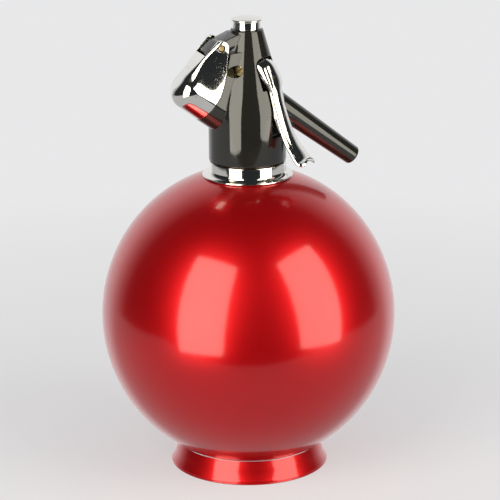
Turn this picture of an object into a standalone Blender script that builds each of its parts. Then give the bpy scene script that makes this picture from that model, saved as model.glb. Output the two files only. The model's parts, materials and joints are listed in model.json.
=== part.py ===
"""Soda siphon: a globe vessel on a foot ring, and a screw-on head.

The head carries a lever valve, a down-turned spout and a charge socket with a hinged lid.
Metres, +Z up. The origin is the centre of the foot, on the surface that it stands on.
The charge pod, the spout and the lever each lie in an upright plane through the axis:
the pod points to -X and a little to -Y, the spout opposite it, and the lever to +X and -Y.
"""
import math

import bmesh
import bpy
from mathutils import Matrix, Vector

OBJECT_NAME = "soda_siphon"

# Fits shared by all pieces
CLEARANCE = 0.0003
RUNNING_GAP = 0.0009
OVERRUN = 0.0030
MERGE_DISTANCE = 0.00001
ROUND_STEPS = 32
SMALL_STEPS = 20
SHARP_ANGLE = math.radians(32.0)

# Vessel: the globe is a spheroid, a little taller than it is wide
GLOBE_RADIUS = 0.0800
GLOBE_HALF_HEIGHT = 0.0821
GLOBE_WALL = 0.0016
GLOBE_LIFT = 0.0023
GLOBE_STEPS = 48
GLOBE_CENTRE_Z = GLOBE_LIFT + GLOBE_HALF_HEIGHT

FOOT_RADIUS = 0.0430
FOOT_LIP_HEIGHT = 0.0010
FOOT_LIP_WIDTH = 0.0034
FOOT_WAIST_RADIUS = 0.0403
FOOT_WAIST_Z = 0.0080
FOOT_TOP_RADIUS = 0.0386
FOOT_SEAT_WIDTH = 0.0030

# Neck: the ferrule is fixed in the globe, and the collar is trim round it
FERRULE_RADIUS = 0.0150
FERRULE_WALL = 0.0030
FERRULE_FLANGE_WIDTH = 0.0040
FERRULE_FLANGE_HEIGHT = 0.0014
FERRULE_RISE = 0.0019
COLLAR_RADIUS = 0.0208
COLLAR_WALL = 0.0018
COLLAR_FLANGE_RADIUS = 0.0245
COLLAR_FLANGE_HEIGHT = 0.0011
COLLAR_FLARE_HEIGHT = 0.0030
COLLAR_RISE = 0.0047
GASKET_HEIGHT = 0.0016
GASKET_WIDTH = 0.0034

# Head: the tower is turned, and its top is a cone with a smooth shoulder
TOWER_RADIUS = 0.02085
TOWER_SHOULDER_SHARE = 0.3487
TOWER_BEND_SHARE = 0.4533
TOWER_CONE_SHARE = 0.5718
TOWER_CONE_RADIUS = 0.0178
TOWER_NECK_SHARE = 0.7476
TOWER_NECK_RADIUS = 0.01385
TOWER_TOP_RADIUS = 0.00885
TOWER_EDGE_ROUND = 0.0008
CAP_RADIUS = 0.0085
CAP_HEIGHT = 0.0054
CAP_DOME_HEIGHT = 0.0010
CAP_SPIGOT_RADIUS = 0.0069
CAP_SPIGOT_LENGTH = 0.0026
CAP_EDGE_ROUND = 0.0006

# Insert: the brass nut in the foot of the head
INSERT_RADIUS = 0.0185
INSERT_ROOF = 0.0018

# Charge pod: half round below its axis and straight-sided above it
POD_AZIMUTH = math.radians(20.2)
POD_TILT = math.radians(36.6)
POD_FLOOR = 0.00095
POD_HALF_WIDTH = 0.01225
POD_RIM = 0.0272
CHARGER_RADIUS = 0.0093
CHARGER_NECK_RADIUS = 0.0045
CHARGER_SHOULDER = -0.0080
CHARGER_TAPER_END = -0.0140
CHARGER_TIP = -0.0195
SLEEVE_WALL = 0.0008
SLEEVE_PROUD = 0.0023
SEAL_LENGTH = 0.0012
SEAL_BORE_RADIUS = 0.0012
PIN_HEAD_RADIUS = 0.0023
PIN_HEAD_LENGTH = 0.0008
PIN_SHANK_RADIUS = 0.0007
PIN_SHANK_LENGTH = 0.0032

# Lid of the charge pod, in the pod's own directions: out along its axis and up across it
LID_REACH = 0.0205
LID_WALL = 0.0015
LID_NOSE_ROUND = 0.0052
LID_EDGE_ROUND = 0.0020
LID_TOP_EDGE = 0.0181
LID_HINGE_OUT = 0.0414
LID_HINGE_UP = 0.0262
LID_EAR_RADIUS = 0.0041
LID_PIN_RADIUS = 0.0017
LID_PAD_RADIUS = 0.0042
LID_PAD_HEIGHT = 0.0006
HINGE_BOSS_RADIUS = 0.0037
HINGE_BLOCK_ROUND = 0.0020
ARM_FOOT_RADIUS = 0.0101
ARM_DROP = 0.0005

# Lever: a pressed channel, in its own plane, out from the axis and up
LEVER_AZIMUTH = math.radians(-35.0)
LEVER_PIN_OUT = 0.0032
LEVER_PIN_RADIUS = 0.0013
LEVER_PIN_HEAD_RADIUS = 0.0019
LEVER_PIN_HEAD_LENGTH = 0.0013
LEVER_PIN_SLOT = 0.0005
LEVER_PIN_SUNK = 0.0036
LEVER_PIN_HOLE_RADIUS = 0.00315
LEVER_THICKNESS = 0.0012
LEVER_LENGTH = 0.0511
LEVER_THROW = 0.0244
LEVER_CROWN_OUT = 0.0120
LEVER_CROWN_RISE = 0.0048
LEVER_LIP = 0.0074
LEVER_CROWN_HALF_WIDTH = 0.0070
LEVER_WAIST_HALF_WIDTH = 0.0048
LEVER_TOE_HALF_WIDTH = 0.0072
LEVER_EAR_RADIUS = 0.0040
LEVER_FLANGE_DEPTH = 0.0034
FINGER_REACH = 0.0101
FINGER_THICKNESS = 0.0022
FINGER_BRIDGE = 0.0016

# Valve, on its own upright axis on the far side of the tower from the lever
VALVE_OFFSET = 0.0040
VALVE_FLOOR = 0.00617
VALVE_BODY_RADIUS = 0.0052
VALVE_BODY_HEIGHT = 0.0110
VALVE_BODY_WALL = 0.0014
VALVE_SEAT_RISE = 0.0058
VALVE_SEAT_THICKNESS = 0.0010
VALVE_SEAT_BORE = 0.0016
VALVE_SEAL_RADIUS = 0.0030
VALVE_SEAL_HEIGHT = 0.0012
STEM_RADIUS = 0.0010
STEM_FOOT_RADIUS = 0.0024
STEM_FOOT_HEIGHT = 0.0005
STEM_COLLAR_RADIUS = 0.0032
STEM_COLLAR_HEIGHT = 0.0014
SPRING_RADIUS = 0.0023
SPRING_LENGTH = 0.0107
SPRING_WIRE_RADIUS = 0.0004
SPRING_TURNS = 5
SPRING_BORE_RADIUS = 0.0030
RETAINER_HEIGHT = 0.0032

# Water way: dip tube, riser pipe and spout
DIP_TUBE_RADIUS = 0.0030
DIP_TUBE_WALL = 0.0008
DIP_TUBE_BASE_Z = 0.0085
DIP_NUT_RADIUS = 0.0062
DIP_NUT_HEIGHT = 0.0032
RISER_RADIUS = 0.0013
RISER_WALL = 0.0005
RISER_OFFSET = 0.0145
RISER_BEND = 0.0026
SPOUT_FALL = math.radians(37.4)
SPOUT_DROP = 0.0011
SPOUT_LENGTH = 0.0761
SPOUT_ROOT_RADIUS = 0.0040
SPOUT_ROOT_START = 0.0078
SPOUT_SHOULDER = 0.0178
SPOUT_RADIUS = 0.0066
SPOUT_TIP_RADIUS = 0.00475
SPOUT_TIP_ROUND = 0.0012
SPOUT_BORE_RADIUS = 0.0024
SPOUT_SEAL_LENGTH = 0.0016

# Places that follow from the sizes above, from the globe up to the cap
GLOBE_TOP_Z = GLOBE_LIFT + 2 * GLOBE_HALF_HEIGHT
FERRULE_TOP_Z = GLOBE_TOP_Z + FERRULE_RISE
FERRULE_BORE = FERRULE_RADIUS - FERRULE_WALL
COLLAR_TOP_Z = GLOBE_TOP_Z + COLLAR_RISE
TOWER_BASE_Z = COLLAR_TOP_Z + CLEARANCE
GASKET_BASE_Z = FERRULE_TOP_Z + CLEARANCE
INSERT_SEAT_Z = GASKET_BASE_Z + GASKET_HEIGHT + CLEARANCE
INSERT_TOP_Z = INSERT_SEAT_Z + INSERT_ROOF
SLEEVE_BORE = CHARGER_RADIUS + CLEARANCE
SLEEVE_RADIUS = SLEEVE_BORE + SLEEVE_WALL
POD_BORE = SLEEVE_RADIUS + CLEARANCE
LID_BACK = POD_RIM + CLEARANCE
LID_FRONT = LID_BACK + LID_REACH
LID_INNER_HALF_WIDTH = POD_HALF_WIDTH - LID_WALL
CHARGER_SEAT = CHARGER_TIP - CLEARANCE
SEAL_BACK = CHARGER_SEAT - SEAL_LENGTH
PIN_FRONT = SEAL_BACK - CLEARANCE
PIN_BACK = PIN_FRONT - PIN_HEAD_LENGTH
POD_CROSS_Z = (INSERT_TOP_Z + POD_FLOOR + (CHARGER_NECK_RADIUS + CLEARANCE) * math.cos(POD_TILT)
               - (SEAL_BACK - CLEARANCE) * math.sin(POD_TILT))
VALVE_BODY_BASE_Z = POD_CROSS_Z + POD_BORE / math.cos(POD_TILT) + VALVE_FLOOR
VALVE_BODY_TOP_Z = VALVE_BODY_BASE_Z + VALVE_BODY_HEIGHT
VALVE_SEAT_Z = VALVE_BODY_BASE_Z + VALVE_SEAT_RISE
SPOUT_CROSS_Z = VALVE_SEAT_Z - SPOUT_DROP
CAVITY_FLOOR_Z = VALVE_BODY_TOP_Z + CLEARANCE
LEVER_PIN_Z = CAVITY_FLOOR_Z + RUNNING_GAP + FINGER_THICKNESS / 2
LEVER_CROWN_Z = LEVER_PIN_Z + LEVER_CROWN_RISE
FINGER_TOP_Z = LEVER_PIN_Z + FINGER_THICKNESS / 2
COLLAR_BASE_Z = FINGER_TOP_Z + CLEARANCE
CAVITY_BACK = FINGER_REACH + RUNNING_GAP - LEVER_PIN_OUT
CAVITY_TOP_Z = LEVER_CROWN_Z + 2 * RUNNING_GAP
CAVITY_HALF_WIDTH = LEVER_CROWN_HALF_WIDTH + RUNNING_GAP
SPRING_BASE_Z = COLLAR_BASE_Z + STEM_COLLAR_HEIGHT + CLEARANCE
RETAINER_BASE_Z = SPRING_BASE_Z + SPRING_LENGTH + CLEARANCE
STEM_TOP_Z = RETAINER_BASE_Z + CLEARANCE
SPIGOT_FLOOR_Z = RETAINER_BASE_Z + RETAINER_HEIGHT + CLEARANCE
TOWER_TOP_Z = SPIGOT_FLOOR_Z + CLEARANCE + CAP_SPIGOT_LENGTH
TOWER_HEIGHT = TOWER_TOP_Z - TOWER_BASE_Z
TOWER_SHOULDER_Z = TOWER_BASE_Z + TOWER_SHOULDER_SHARE * TOWER_HEIGHT
TOWER_BEND_Z = TOWER_BASE_Z + TOWER_BEND_SHARE * TOWER_HEIGHT
TOWER_CONE_Z = TOWER_BASE_Z + TOWER_CONE_SHARE * TOWER_HEIGHT
TOWER_NECK_Z = TOWER_BASE_Z + TOWER_NECK_SHARE * TOWER_HEIGHT

# Directions: the planes of the pod, the spout and the lever
HEAD = Matrix.Rotation(POD_AZIMUTH, 4, "Z")
LEVER = Matrix.Rotation(LEVER_AZIMUTH, 4, "Z")


def frame(origin, x_axis, y_axis):
    """Frame at a point with the given X and Y directions, and Z square to both."""
    z_axis = x_axis.cross(y_axis)
    turn = Matrix((x_axis, y_axis, z_axis)).transposed().to_4x4()
    return Matrix.Translation(origin) @ turn


def aim(origin, direction):
    """Frame at a point whose Z axis runs along a direction in the X-Z plane."""
    z_axis = direction.normalized()
    y_axis = Vector((0, 1, 0))
    return frame(origin, y_axis.cross(z_axis), y_axis)


POD_AXIS = Vector((-math.cos(POD_TILT), 0, math.sin(POD_TILT)))
POD_UP = Vector((math.sin(POD_TILT), 0, math.cos(POD_TILT)))
POD_ORIGIN = Vector((0, 0, POD_CROSS_Z))
POD_SIDE = HEAD @ frame(POD_ORIGIN, POD_AXIS, POD_UP)
POD_AXIAL = HEAD @ aim(POD_ORIGIN, POD_AXIS)
SPOUT_AXIS = Vector((math.cos(SPOUT_FALL), 0, -math.sin(SPOUT_FALL)))
SPOUT_AXIAL = HEAD @ aim(Vector((0, 0, SPOUT_CROSS_Z)), SPOUT_AXIS)
LEVER_SIDE = LEVER @ frame(Vector((0, 0, 0)), Vector((1, 0, 0)), Vector((0, 0, 1)))
LEVER_FRONT = LEVER @ frame(Vector((0, 0, 0)), Vector((0, 1, 0)), Vector((0, 0, 1)))
VALVE_PLACE = LEVER @ Matrix.Translation((-VALVE_OFFSET, 0, 0))
VALVE_CENTRE = HEAD.inverted() @ (VALVE_PLACE @ Vector((0, 0, 0)))
RISER_PLACE = Vector((VALVE_CENTRE.x, RISER_OFFSET, 0))
RISER_TOP_Z = (VALVE_BODY_BASE_Z + VALVE_BODY_WALL + VALVE_SEAT_Z - VALVE_SEAT_THICKNESS) / 2
RISER_FOOT_Z = (INSERT_SEAT_Z + INSERT_TOP_Z) / 2
LID_PIN_PLACE = POD_SIDE @ Matrix.Translation((LID_HINGE_OUT, LID_HINGE_UP, 0))
LEVER_PIN_PLACE = LEVER_SIDE @ Matrix.Translation((LEVER_PIN_OUT, LEVER_PIN_Z, 0))


def clear_scene():
    """Remove what the scene holds."""
    for old in list(bpy.data.objects):
        bpy.data.objects.remove(old, do_unlink=True)


def new_collection(name):
    """Collection linked to the scene."""
    collection = bpy.data.collections.new(name)
    bpy.context.scene.collection.children.link(collection)
    return collection


def finish(name, colour, metallic, roughness):
    """Plain surface for one piece."""
    material = bpy.data.materials.new(name)
    material.use_nodes = True
    surface = material.node_tree.nodes["Principled BSDF"]
    surface.inputs["Base Color"].default_value = (*colour, 1)
    surface.inputs["Metallic"].default_value = metallic
    surface.inputs["Roughness"].default_value = roughness
    material.diffuse_color = (*colour, 1)
    return material


def evaluated_mesh(shape):
    """Mesh of an object with its modifiers applied."""
    bpy.context.view_layer.update()
    graph = bpy.context.evaluated_depsgraph_get()
    return bpy.data.meshes.new_from_object(shape.evaluated_get(graph))


def add_tool(name, data, place):
    """Building shape that isn't a piece of the object itself."""
    shape = bpy.data.objects.new(name, data)
    shape.matrix_world = place
    shape.hide_render = True
    shape.display_type = "WIRE"
    TOOLS.objects.link(shape)
    return shape


def from_bmesh(name, work, place):
    """Building shape from a bmesh."""
    mesh = bpy.data.meshes.new(name)
    work.to_mesh(mesh)
    work.free()
    return add_tool(name, mesh, place)


def from_curve(name, curve, place):
    """Closed mesh of a curve, with its caps welded on."""
    carrier = add_tool(name, curve, place)
    mesh = evaluated_mesh(carrier)
    bpy.data.objects.remove(carrier)
    work = bmesh.new()
    work.from_mesh(mesh)
    bmesh.ops.remove_doubles(work, verts=work.verts, dist=MERGE_DISTANCE)
    bmesh.ops.recalc_face_normals(work, faces=work.faces)
    return from_bmesh(name, work, place)


def turned(name, profile, place, closed=False, steps=ROUND_STEPS):
    """Shape turned about the place's Z axis. The profile runs down its outer side."""
    last = len(profile) - 1
    edges = [(i, i + 1) for i in range(last)]
    if closed:
        edges.append((last, 0))
    mesh = bpy.data.meshes.new(name)
    mesh.from_pydata([(radius, 0, height) for radius, height in profile], edges, [])
    shape = add_tool(name, mesh, place)
    screw = shape.modifiers.new("Turn", "SCREW")
    screw.steps = steps
    screw.render_steps = steps
    screw.use_merge_vertices = True
    screw.merge_threshold = MERGE_DISTANCE
    return shape


def ring(name, outer, inner, low, high, place, steps=ROUND_STEPS):
    """Plain turned ring."""
    profile = [(outer, high), (outer, low), (inner, low), (inner, high)]
    return turned(name, profile, place, closed=True, steps=steps)


def plate(name, outline, low, high, place):
    """Flat outline in the place's X-Y plane, given thickness along its Z axis."""
    curve = bpy.data.curves.new(name, "CURVE")
    curve.dimensions = "2D"
    curve.fill_mode = "BOTH"
    curve.extrude = (high - low) / 2
    spline = curve.splines.new("POLY")
    spline.points.add(len(outline) - 1)
    spline.use_cyclic_u = True
    for point, (x, y) in zip(spline.points, outline):
        point.co = (x, y, 0, 1)
    return from_curve(name, curve, place @ Matrix.Translation((0, 0, (low + high) / 2)))


def tube(name, points, radius, place, resolution=2):
    """Round bar along a row of points."""
    curve = bpy.data.curves.new(name, "CURVE")
    curve.dimensions = "3D"
    curve.bevel_depth = radius
    curve.bevel_resolution = resolution
    curve.use_fill_caps = True
    spline = curve.splines.new("POLY")
    spline.points.add(len(points) - 1)
    for point, place_on_path in zip(spline.points, points):
        point.co = (*place_on_path, 1)
    return from_curve(name, curve, place)


def rod(name, radius, low, high, place, steps=SMALL_STEPS):
    """Cylinder along the place's Z axis."""
    work = bmesh.new()
    middle = Matrix.Translation((0, 0, (low + high) / 2))
    bmesh.ops.create_cone(work, cap_ends=True, segments=steps, radius1=radius, radius2=radius,
                          depth=high - low, matrix=middle)
    return from_bmesh(name, work, place)


def box(name, low, high, place):
    """Box between two corners."""
    work = bmesh.new()
    low, high = Vector(low), Vector(high)
    size = Matrix.Diagonal((*(high - low), 1))
    bmesh.ops.create_cube(work, size=1, matrix=Matrix.Translation((low + high) / 2) @ size)
    return from_bmesh(name, work, place)


def bevel(shape, width, segments=3):
    """Round the sharp edges of a shape."""
    step = shape.modifiers.new("Round", "BEVEL")
    step.limit_method = "ANGLE"
    step.angle_limit = math.radians(40)
    step.width = width
    step.segments = segments
    return shape


def combine(shape, operation, others):
    """Boolean steps on a shape, one for each of the others."""
    for other in others:
        step = shape.modifiers.new(other.name, "BOOLEAN")
        step.operation = operation
        step.solver = "EXACT"
        step.object = other
    return shape


def cut(shape, *others):
    """Take the others away from a shape."""
    return combine(shape, "DIFFERENCE", others)


def join(shape, *others):
    """Add the others to a shape."""
    return combine(shape, "UNION", others)


def keep(shape, *others):
    """Keep what a shape shares with the others."""
    return combine(shape, "INTERSECT", others)


def piece(name, shape, material, parent=None):
    """Make a finished piece of a building shape, under a parent empty if it moves."""
    mesh = evaluated_mesh(shape)
    mesh.shade_smooth()
    mesh.set_sharp_from_angle(angle=SHARP_ANGLE)
    mesh.materials.clear()
    mesh.materials.append(material)
    made = bpy.data.objects.new(name, mesh)
    made.matrix_world = shape.matrix_world
    PARTS.objects.link(made)
    if parent:
        made.parent = parent
        made.matrix_parent_inverse = parent.matrix_world.inverted()
    return made


def pivot(name, place):
    """Empty on a joint's axis, which is its Z axis."""
    empty = bpy.data.objects.new(name, None)
    empty.empty_display_size = TOWER_RADIUS
    empty.matrix_world = place
    PARTS.objects.link(empty)
    bpy.context.view_layer.update()
    return empty


def arc(centre, radius, start, end, steps):
    """Points on a round stretch of an outline, with angles in degrees."""
    turns = [math.radians(start + (end - start) * i / steps) for i in range(steps + 1)]
    return [(centre[0] + radius * math.cos(a), centre[1] + radius * math.sin(a)) for a in turns]


def bend(start, corner, end, steps):
    """Points on a smooth bend from start to end that leans into a corner."""
    points = []
    for i in range(steps + 1):
        t = i / steps
        points.append(tuple((1 - t) ** 2 * a + 2 * t * (1 - t) * b + t ** 2 * c
                            for a, b, c in zip(start, corner, end)))
    return points


def smooth(points, steps):
    """Smooth line through a row of points."""
    ends = [points[0], *points, points[-1]]
    line = []
    for a, b, c, d in zip(ends, ends[1:], ends[2:], ends[3:]):
        for i in range(steps):
            t = i / steps
            line.append(tuple(q + t * (r - p) / 2 + t * t * (2 * p - 5 * q + 4 * r - s) / 2
                              + t ** 3 * (3 * q - p - 3 * r + s) / 2
                              for p, q, r, s in zip(a, b, c, d)))
    return [*line, points[-1]]


def offset(points, distance):
    """Line at an even distance to the right of a row of points."""
    moved = []
    for i, (x, y) in enumerate(points):
        before = Vector(points[max(i - 1, 0)])
        after = Vector(points[min(i + 1, len(points) - 1)])
        along = (after - before).normalized()
        moved.append((x + distance * along.y, y - distance * along.x))
    return moved


def globe_height(radius, inset=0.0, side=1):
    """Height of the globe's skin at a distance from its axis. Side is 1 above, -1 below."""
    share = radius / (GLOBE_RADIUS - inset)
    return GLOBE_CENTRE_Z + side * (GLOBE_HALF_HEIGHT - inset) * math.sqrt(1 - share ** 2)


def globe_line(opening, inset, steps):
    """Line down the globe's skin from its opening to the axis."""
    wide = GLOBE_RADIUS - inset
    tall = GLOBE_HALF_HEIGHT - inset
    start = math.acos(opening / wide)
    turns = [start - (start + math.pi / 2) * i / steps for i in range(steps)]
    line = [(wide * math.cos(a), GLOBE_CENTRE_Z + tall * math.sin(a)) for a in turns]
    return [*line, (0, GLOBE_CENTRE_Z - tall)]


def globe_seat(inner, outer, steps, side):
    """Line along the outside of the globe's skin, a clearance away from it."""
    radii = [inner + (outer - inner) * i / steps for i in range(steps + 1)]
    return [(radius, globe_height(radius, -CLEARANCE, side)) for radius in radii]


def build_vessel():
    """Globe, foot ring, neck ferrule and collar."""
    opening = FERRULE_RADIUS + CLEARANCE
    inside = globe_line(opening, GLOBE_WALL, 18)
    outside = globe_line(opening, 0.0, 20)
    globe = turned("globe_turned", [*reversed(inside), *outside], WORLD, steps=GLOBE_STEPS)
    piece("globe", globe, RED)

    foot_inner = FOOT_RADIUS - FOOT_LIP_WIDTH
    seat_inner = FOOT_TOP_RADIUS - FOOT_SEAT_WIDTH
    seat = globe_seat(seat_inner, FOOT_TOP_RADIUS, 3, -1)
    flare = bend((FOOT_WAIST_RADIUS, FOOT_WAIST_Z), (FOOT_WAIST_RADIUS, FOOT_LIP_HEIGHT * 3),
                 (FOOT_RADIUS, FOOT_LIP_HEIGHT), 5)
    inner_wall = [(FOOT_RADIUS, 0), (foot_inner, 0), (foot_inner, FOOT_LIP_HEIGHT),
                  (seat_inner, FOOT_WAIST_Z)]
    foot = turned("foot_turned", [*flare, *inner_wall, *seat], WORLD, closed=True,
                  steps=GLOBE_STEPS)
    piece("foot_ring", foot, RED)

    flange = FERRULE_RADIUS + FERRULE_FLANGE_WIDTH
    under_wall = GLOBE_WALL + CLEARANCE
    flange_top = [(FERRULE_RADIUS, globe_height(FERRULE_RADIUS, under_wall)),
                  (flange, globe_height(flange, under_wall))]
    flange_low = flange_top[1][1] - FERRULE_FLANGE_HEIGHT
    ferrule = turned("ferrule_turned", [(FERRULE_RADIUS, FERRULE_TOP_Z), *flange_top,
                                        (flange, flange_low), (FERRULE_BORE, flange_low),
                                        (FERRULE_BORE, FERRULE_TOP_Z)], WORLD, closed=True)
    piece("neck_ferrule", ferrule, BRASS)

    collar_bore = COLLAR_RADIUS - COLLAR_WALL
    seat = globe_seat(collar_bore, COLLAR_FLANGE_RADIUS, 3, 1)
    flange_top_z = seat[-1][1] + COLLAR_FLANGE_HEIGHT
    flare = bend((COLLAR_RADIUS, flange_top_z + COLLAR_FLARE_HEIGHT),
                 (COLLAR_RADIUS, flange_top_z), (COLLAR_FLANGE_RADIUS, flange_top_z), 6)
    collar = turned("collar_turned", [(COLLAR_RADIUS, COLLAR_TOP_Z), *flare, *reversed(seat),
                                      (collar_bore, COLLAR_TOP_Z)], WORLD, closed=True,
                    steps=GLOBE_STEPS)
    piece("neck_collar", collar, CHROME)


def build_neck_fittings():
    """Gasket and insert, and the dip tube with its nut."""
    gasket = ring("gasket_ring", FERRULE_RADIUS, FERRULE_RADIUS - GASKET_WIDTH, GASKET_BASE_Z,
                  GASKET_BASE_Z + GASKET_HEIGHT, WORLD)
    piece("neck_gasket", gasket, RUBBER, NECK_AXIS)

    skirt_bore = FERRULE_RADIUS + CLEARANCE
    skirt_end = globe_height(skirt_bore, -CLEARANCE)
    tube_hole = DIP_TUBE_RADIUS + CLEARANCE
    insert = turned("insert_turned", [(INSERT_RADIUS, INSERT_TOP_Z), (INSERT_RADIUS, skirt_end),
                                      (skirt_bore, skirt_end), (skirt_bore, INSERT_SEAT_Z),
                                      (tube_hole, INSERT_SEAT_Z), (tube_hole, INSERT_TOP_Z)],
                    WORLD, closed=True)
    riser_hole = rod("riser_hole", RISER_RADIUS + CLEARANCE, RISER_FOOT_Z - CLEARANCE,
                     INSERT_TOP_Z + OVERRUN, HEAD @ Matrix.Translation(RISER_PLACE))
    crossing = tube("water_crossing", [(0, 0, RISER_FOOT_Z), (*RISER_PLACE.xy, RISER_FOOT_Z)],
                    RISER_RADIUS - RISER_WALL, HEAD)
    piece("head_insert", cut(insert, riser_hole, crossing), BRASS, NECK_AXIS)

    dip_bore = DIP_TUBE_RADIUS - DIP_TUBE_WALL
    dip_tube = ring("dip_tube_ring", DIP_TUBE_RADIUS, dip_bore, DIP_TUBE_BASE_Z, INSERT_TOP_Z,
                    WORLD, SMALL_STEPS)
    piece("dip_tube", dip_tube, CLEAR_PLASTIC, NECK_AXIS)
    nut_top = INSERT_SEAT_Z - CLEARANCE
    nut = rod("nut_blank", DIP_NUT_RADIUS, nut_top - DIP_NUT_HEIGHT, nut_top, WORLD, 6)
    nut_hole = rod("nut_hole", tube_hole, nut_top - DIP_NUT_HEIGHT - OVERRUN,
                   nut_top + OVERRUN, WORLD)
    piece("dip_tube_nut", cut(nut, nut_hole), BRASS, NECK_AXIS)


def riser_path(overrun):
    """Route of the riser pipe, up the side of the head and in to the valve."""
    x, y = RISER_PLACE.xy
    end = VALVE_CENTRE.y + VALVE_BODY_RADIUS - VALVE_BODY_WALL / 2 - overrun
    corner = bend((x, y, RISER_TOP_Z - RISER_BEND), (x, y, RISER_TOP_Z),
                  (x, y - RISER_BEND, RISER_TOP_Z), 5)
    return [(x, y, RISER_FOOT_Z - overrun), *corner, (x, end, RISER_TOP_Z)]


def build_valve(outlet):
    """Valve body, seal, stem, spring and retainer, with the riser pipe to it."""
    bore = VALVE_BODY_RADIUS - VALVE_BODY_WALL
    low = VALVE_BODY_BASE_Z + VALVE_BODY_WALL
    high = VALVE_BODY_TOP_Z - VALVE_BODY_WALL
    plate_low = VALVE_SEAT_Z - VALVE_SEAT_THICKNESS
    stem_hole = STEM_RADIUS + CLEARANCE
    body = turned("valve_turned", [(0, low), (bore, low), (bore, plate_low),
                                   (VALVE_SEAT_BORE, plate_low), (VALVE_SEAT_BORE, VALVE_SEAT_Z),
                                   (bore, VALVE_SEAT_Z), (bore, high), (stem_hole, high),
                                   (stem_hole, VALVE_BODY_TOP_Z),
                                   (VALVE_BODY_RADIUS, VALVE_BODY_TOP_Z),
                                   (VALVE_BODY_RADIUS, VALVE_BODY_BASE_Z),
                                   (0, VALVE_BODY_BASE_Z)], VALVE_PLACE, steps=SMALL_STEPS)
    inlet = tube("inlet_hole", riser_path(VALVE_BODY_WALL), RISER_RADIUS + CLEARANCE, HEAD)
    piece("valve_body", cut(body, inlet, outlet), BRASS, NECK_AXIS)

    pipe = tube("riser_outside", riser_path(0.0), RISER_RADIUS, HEAD)
    pipe_bore = tube("riser_bore", riser_path(OVERRUN), RISER_RADIUS - RISER_WALL, HEAD)
    piece("riser_pipe", cut(pipe, pipe_bore), BRASS, NECK_AXIS)

    seal_low = VALVE_SEAT_Z + CLEARANCE
    seal_high = seal_low + VALVE_SEAL_HEIGHT
    recess = seal_low + VALVE_SEAL_HEIGHT / 2
    seal = turned("seal_turned", [(0, recess), (stem_hole, recess), (stem_hole, seal_high),
                                  (VALVE_SEAL_RADIUS, seal_high), (VALVE_SEAL_RADIUS, seal_low),
                                  (0, seal_low)], VALVE_PLACE, steps=SMALL_STEPS)
    piece("valve_seal", seal, RUBBER, VALVE_AXIS)

    foot_low = seal_high + CLEARANCE
    foot_high = foot_low + STEM_FOOT_HEIGHT
    collar_high = COLLAR_BASE_Z + STEM_COLLAR_HEIGHT
    stem = turned("stem_turned", [(0, STEM_TOP_Z), (STEM_RADIUS, STEM_TOP_Z),
                                  (STEM_RADIUS, collar_high), (STEM_COLLAR_RADIUS, collar_high),
                                  (STEM_COLLAR_RADIUS, COLLAR_BASE_Z),
                                  (STEM_RADIUS, COLLAR_BASE_Z), (STEM_RADIUS, foot_high),
                                  (STEM_FOOT_RADIUS, foot_high), (STEM_FOOT_RADIUS, foot_low),
                                  (STEM_RADIUS, foot_low), (STEM_RADIUS, recess + CLEARANCE),
                                  (0, recess + CLEARANCE)], VALVE_PLACE, steps=SMALL_STEPS)
    piece("valve_stem", stem, BRASS, VALVE_AXIS)

    start = SPRING_BASE_Z + SPRING_WIRE_RADIUS
    end = RETAINER_BASE_Z - CLEARANCE - SPRING_WIRE_RADIUS
    count = SPRING_TURNS * 10
    turns = [2 * math.pi * i * SPRING_TURNS / count for i in range(count + 1)]
    coil = [(SPRING_RADIUS * math.cos(a), SPRING_RADIUS * math.sin(a),
             start + (end - start) * i / count) for i, a in enumerate(turns)]
    spring = tube("spring_wire", coil, SPRING_WIRE_RADIUS, VALVE_PLACE, resolution=1)
    piece("valve_spring", spring, STEEL, NECK_AXIS)
    print("least gap between turns of the spring, in metres:",
          round((end - start) / SPRING_TURNS - 2 * SPRING_WIRE_RADIUS, 5))

    top = RETAINER_BASE_Z + RETAINER_HEIGHT
    roof = top - RETAINER_HEIGHT / 4
    radius = SPRING_BORE_RADIUS - CLEARANCE
    retainer = turned("retainer_turned", [(0, top), (radius, top), (radius, RETAINER_BASE_Z),
                                          (stem_hole, RETAINER_BASE_Z), (stem_hole, roof),
                                          (0, roof)], VALVE_PLACE, steps=SMALL_STEPS)
    piece("spring_retainer", retainer, BRASS, NECK_AXIS)


def build_spout():
    """Spout with its water bore, and the washer round its root."""
    tip = bend((SPOUT_TIP_RADIUS - SPOUT_TIP_ROUND, SPOUT_LENGTH), (SPOUT_TIP_RADIUS, SPOUT_LENGTH),
               (SPOUT_TIP_RADIUS, SPOUT_LENGTH - SPOUT_TIP_ROUND), 4)
    profile = [(SPOUT_BORE_RADIUS, SPOUT_LENGTH), *tip, (SPOUT_RADIUS, SPOUT_SHOULDER),
               (SPOUT_ROOT_RADIUS, SPOUT_SHOULDER), (SPOUT_ROOT_RADIUS, SPOUT_ROOT_START),
               (SPOUT_BORE_RADIUS, SPOUT_ROOT_START)]
    piece("spout", turned("spout_turned", profile, SPOUT_AXIAL, closed=True), BLACK, NECK_AXIS)
    end = SPOUT_SHOULDER - CLEARANCE
    washer = ring("spout_washer", SPOUT_RADIUS - CLEARANCE, SPOUT_ROOT_RADIUS + CLEARANCE,
                  end - SPOUT_SEAL_LENGTH, end, SPOUT_AXIAL)
    piece("spout_seal", washer, RUBBER, NECK_AXIS)


def outlet_hole():
    """Water way from above the valve seat to the root of the spout."""
    start = Vector((VALVE_CENTRE.x, VALVE_CENTRE.y, VALVE_SEAT_Z + VALVE_SEAT_BORE))
    along = SPOUT_ROOT_START + CLEARANCE
    end = Vector((0, 0, SPOUT_CROSS_Z)) + along * SPOUT_AXIS
    return tube("outlet_hole", [start, end], VALVE_SEAT_BORE * 3 / 4, HEAD)


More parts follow.
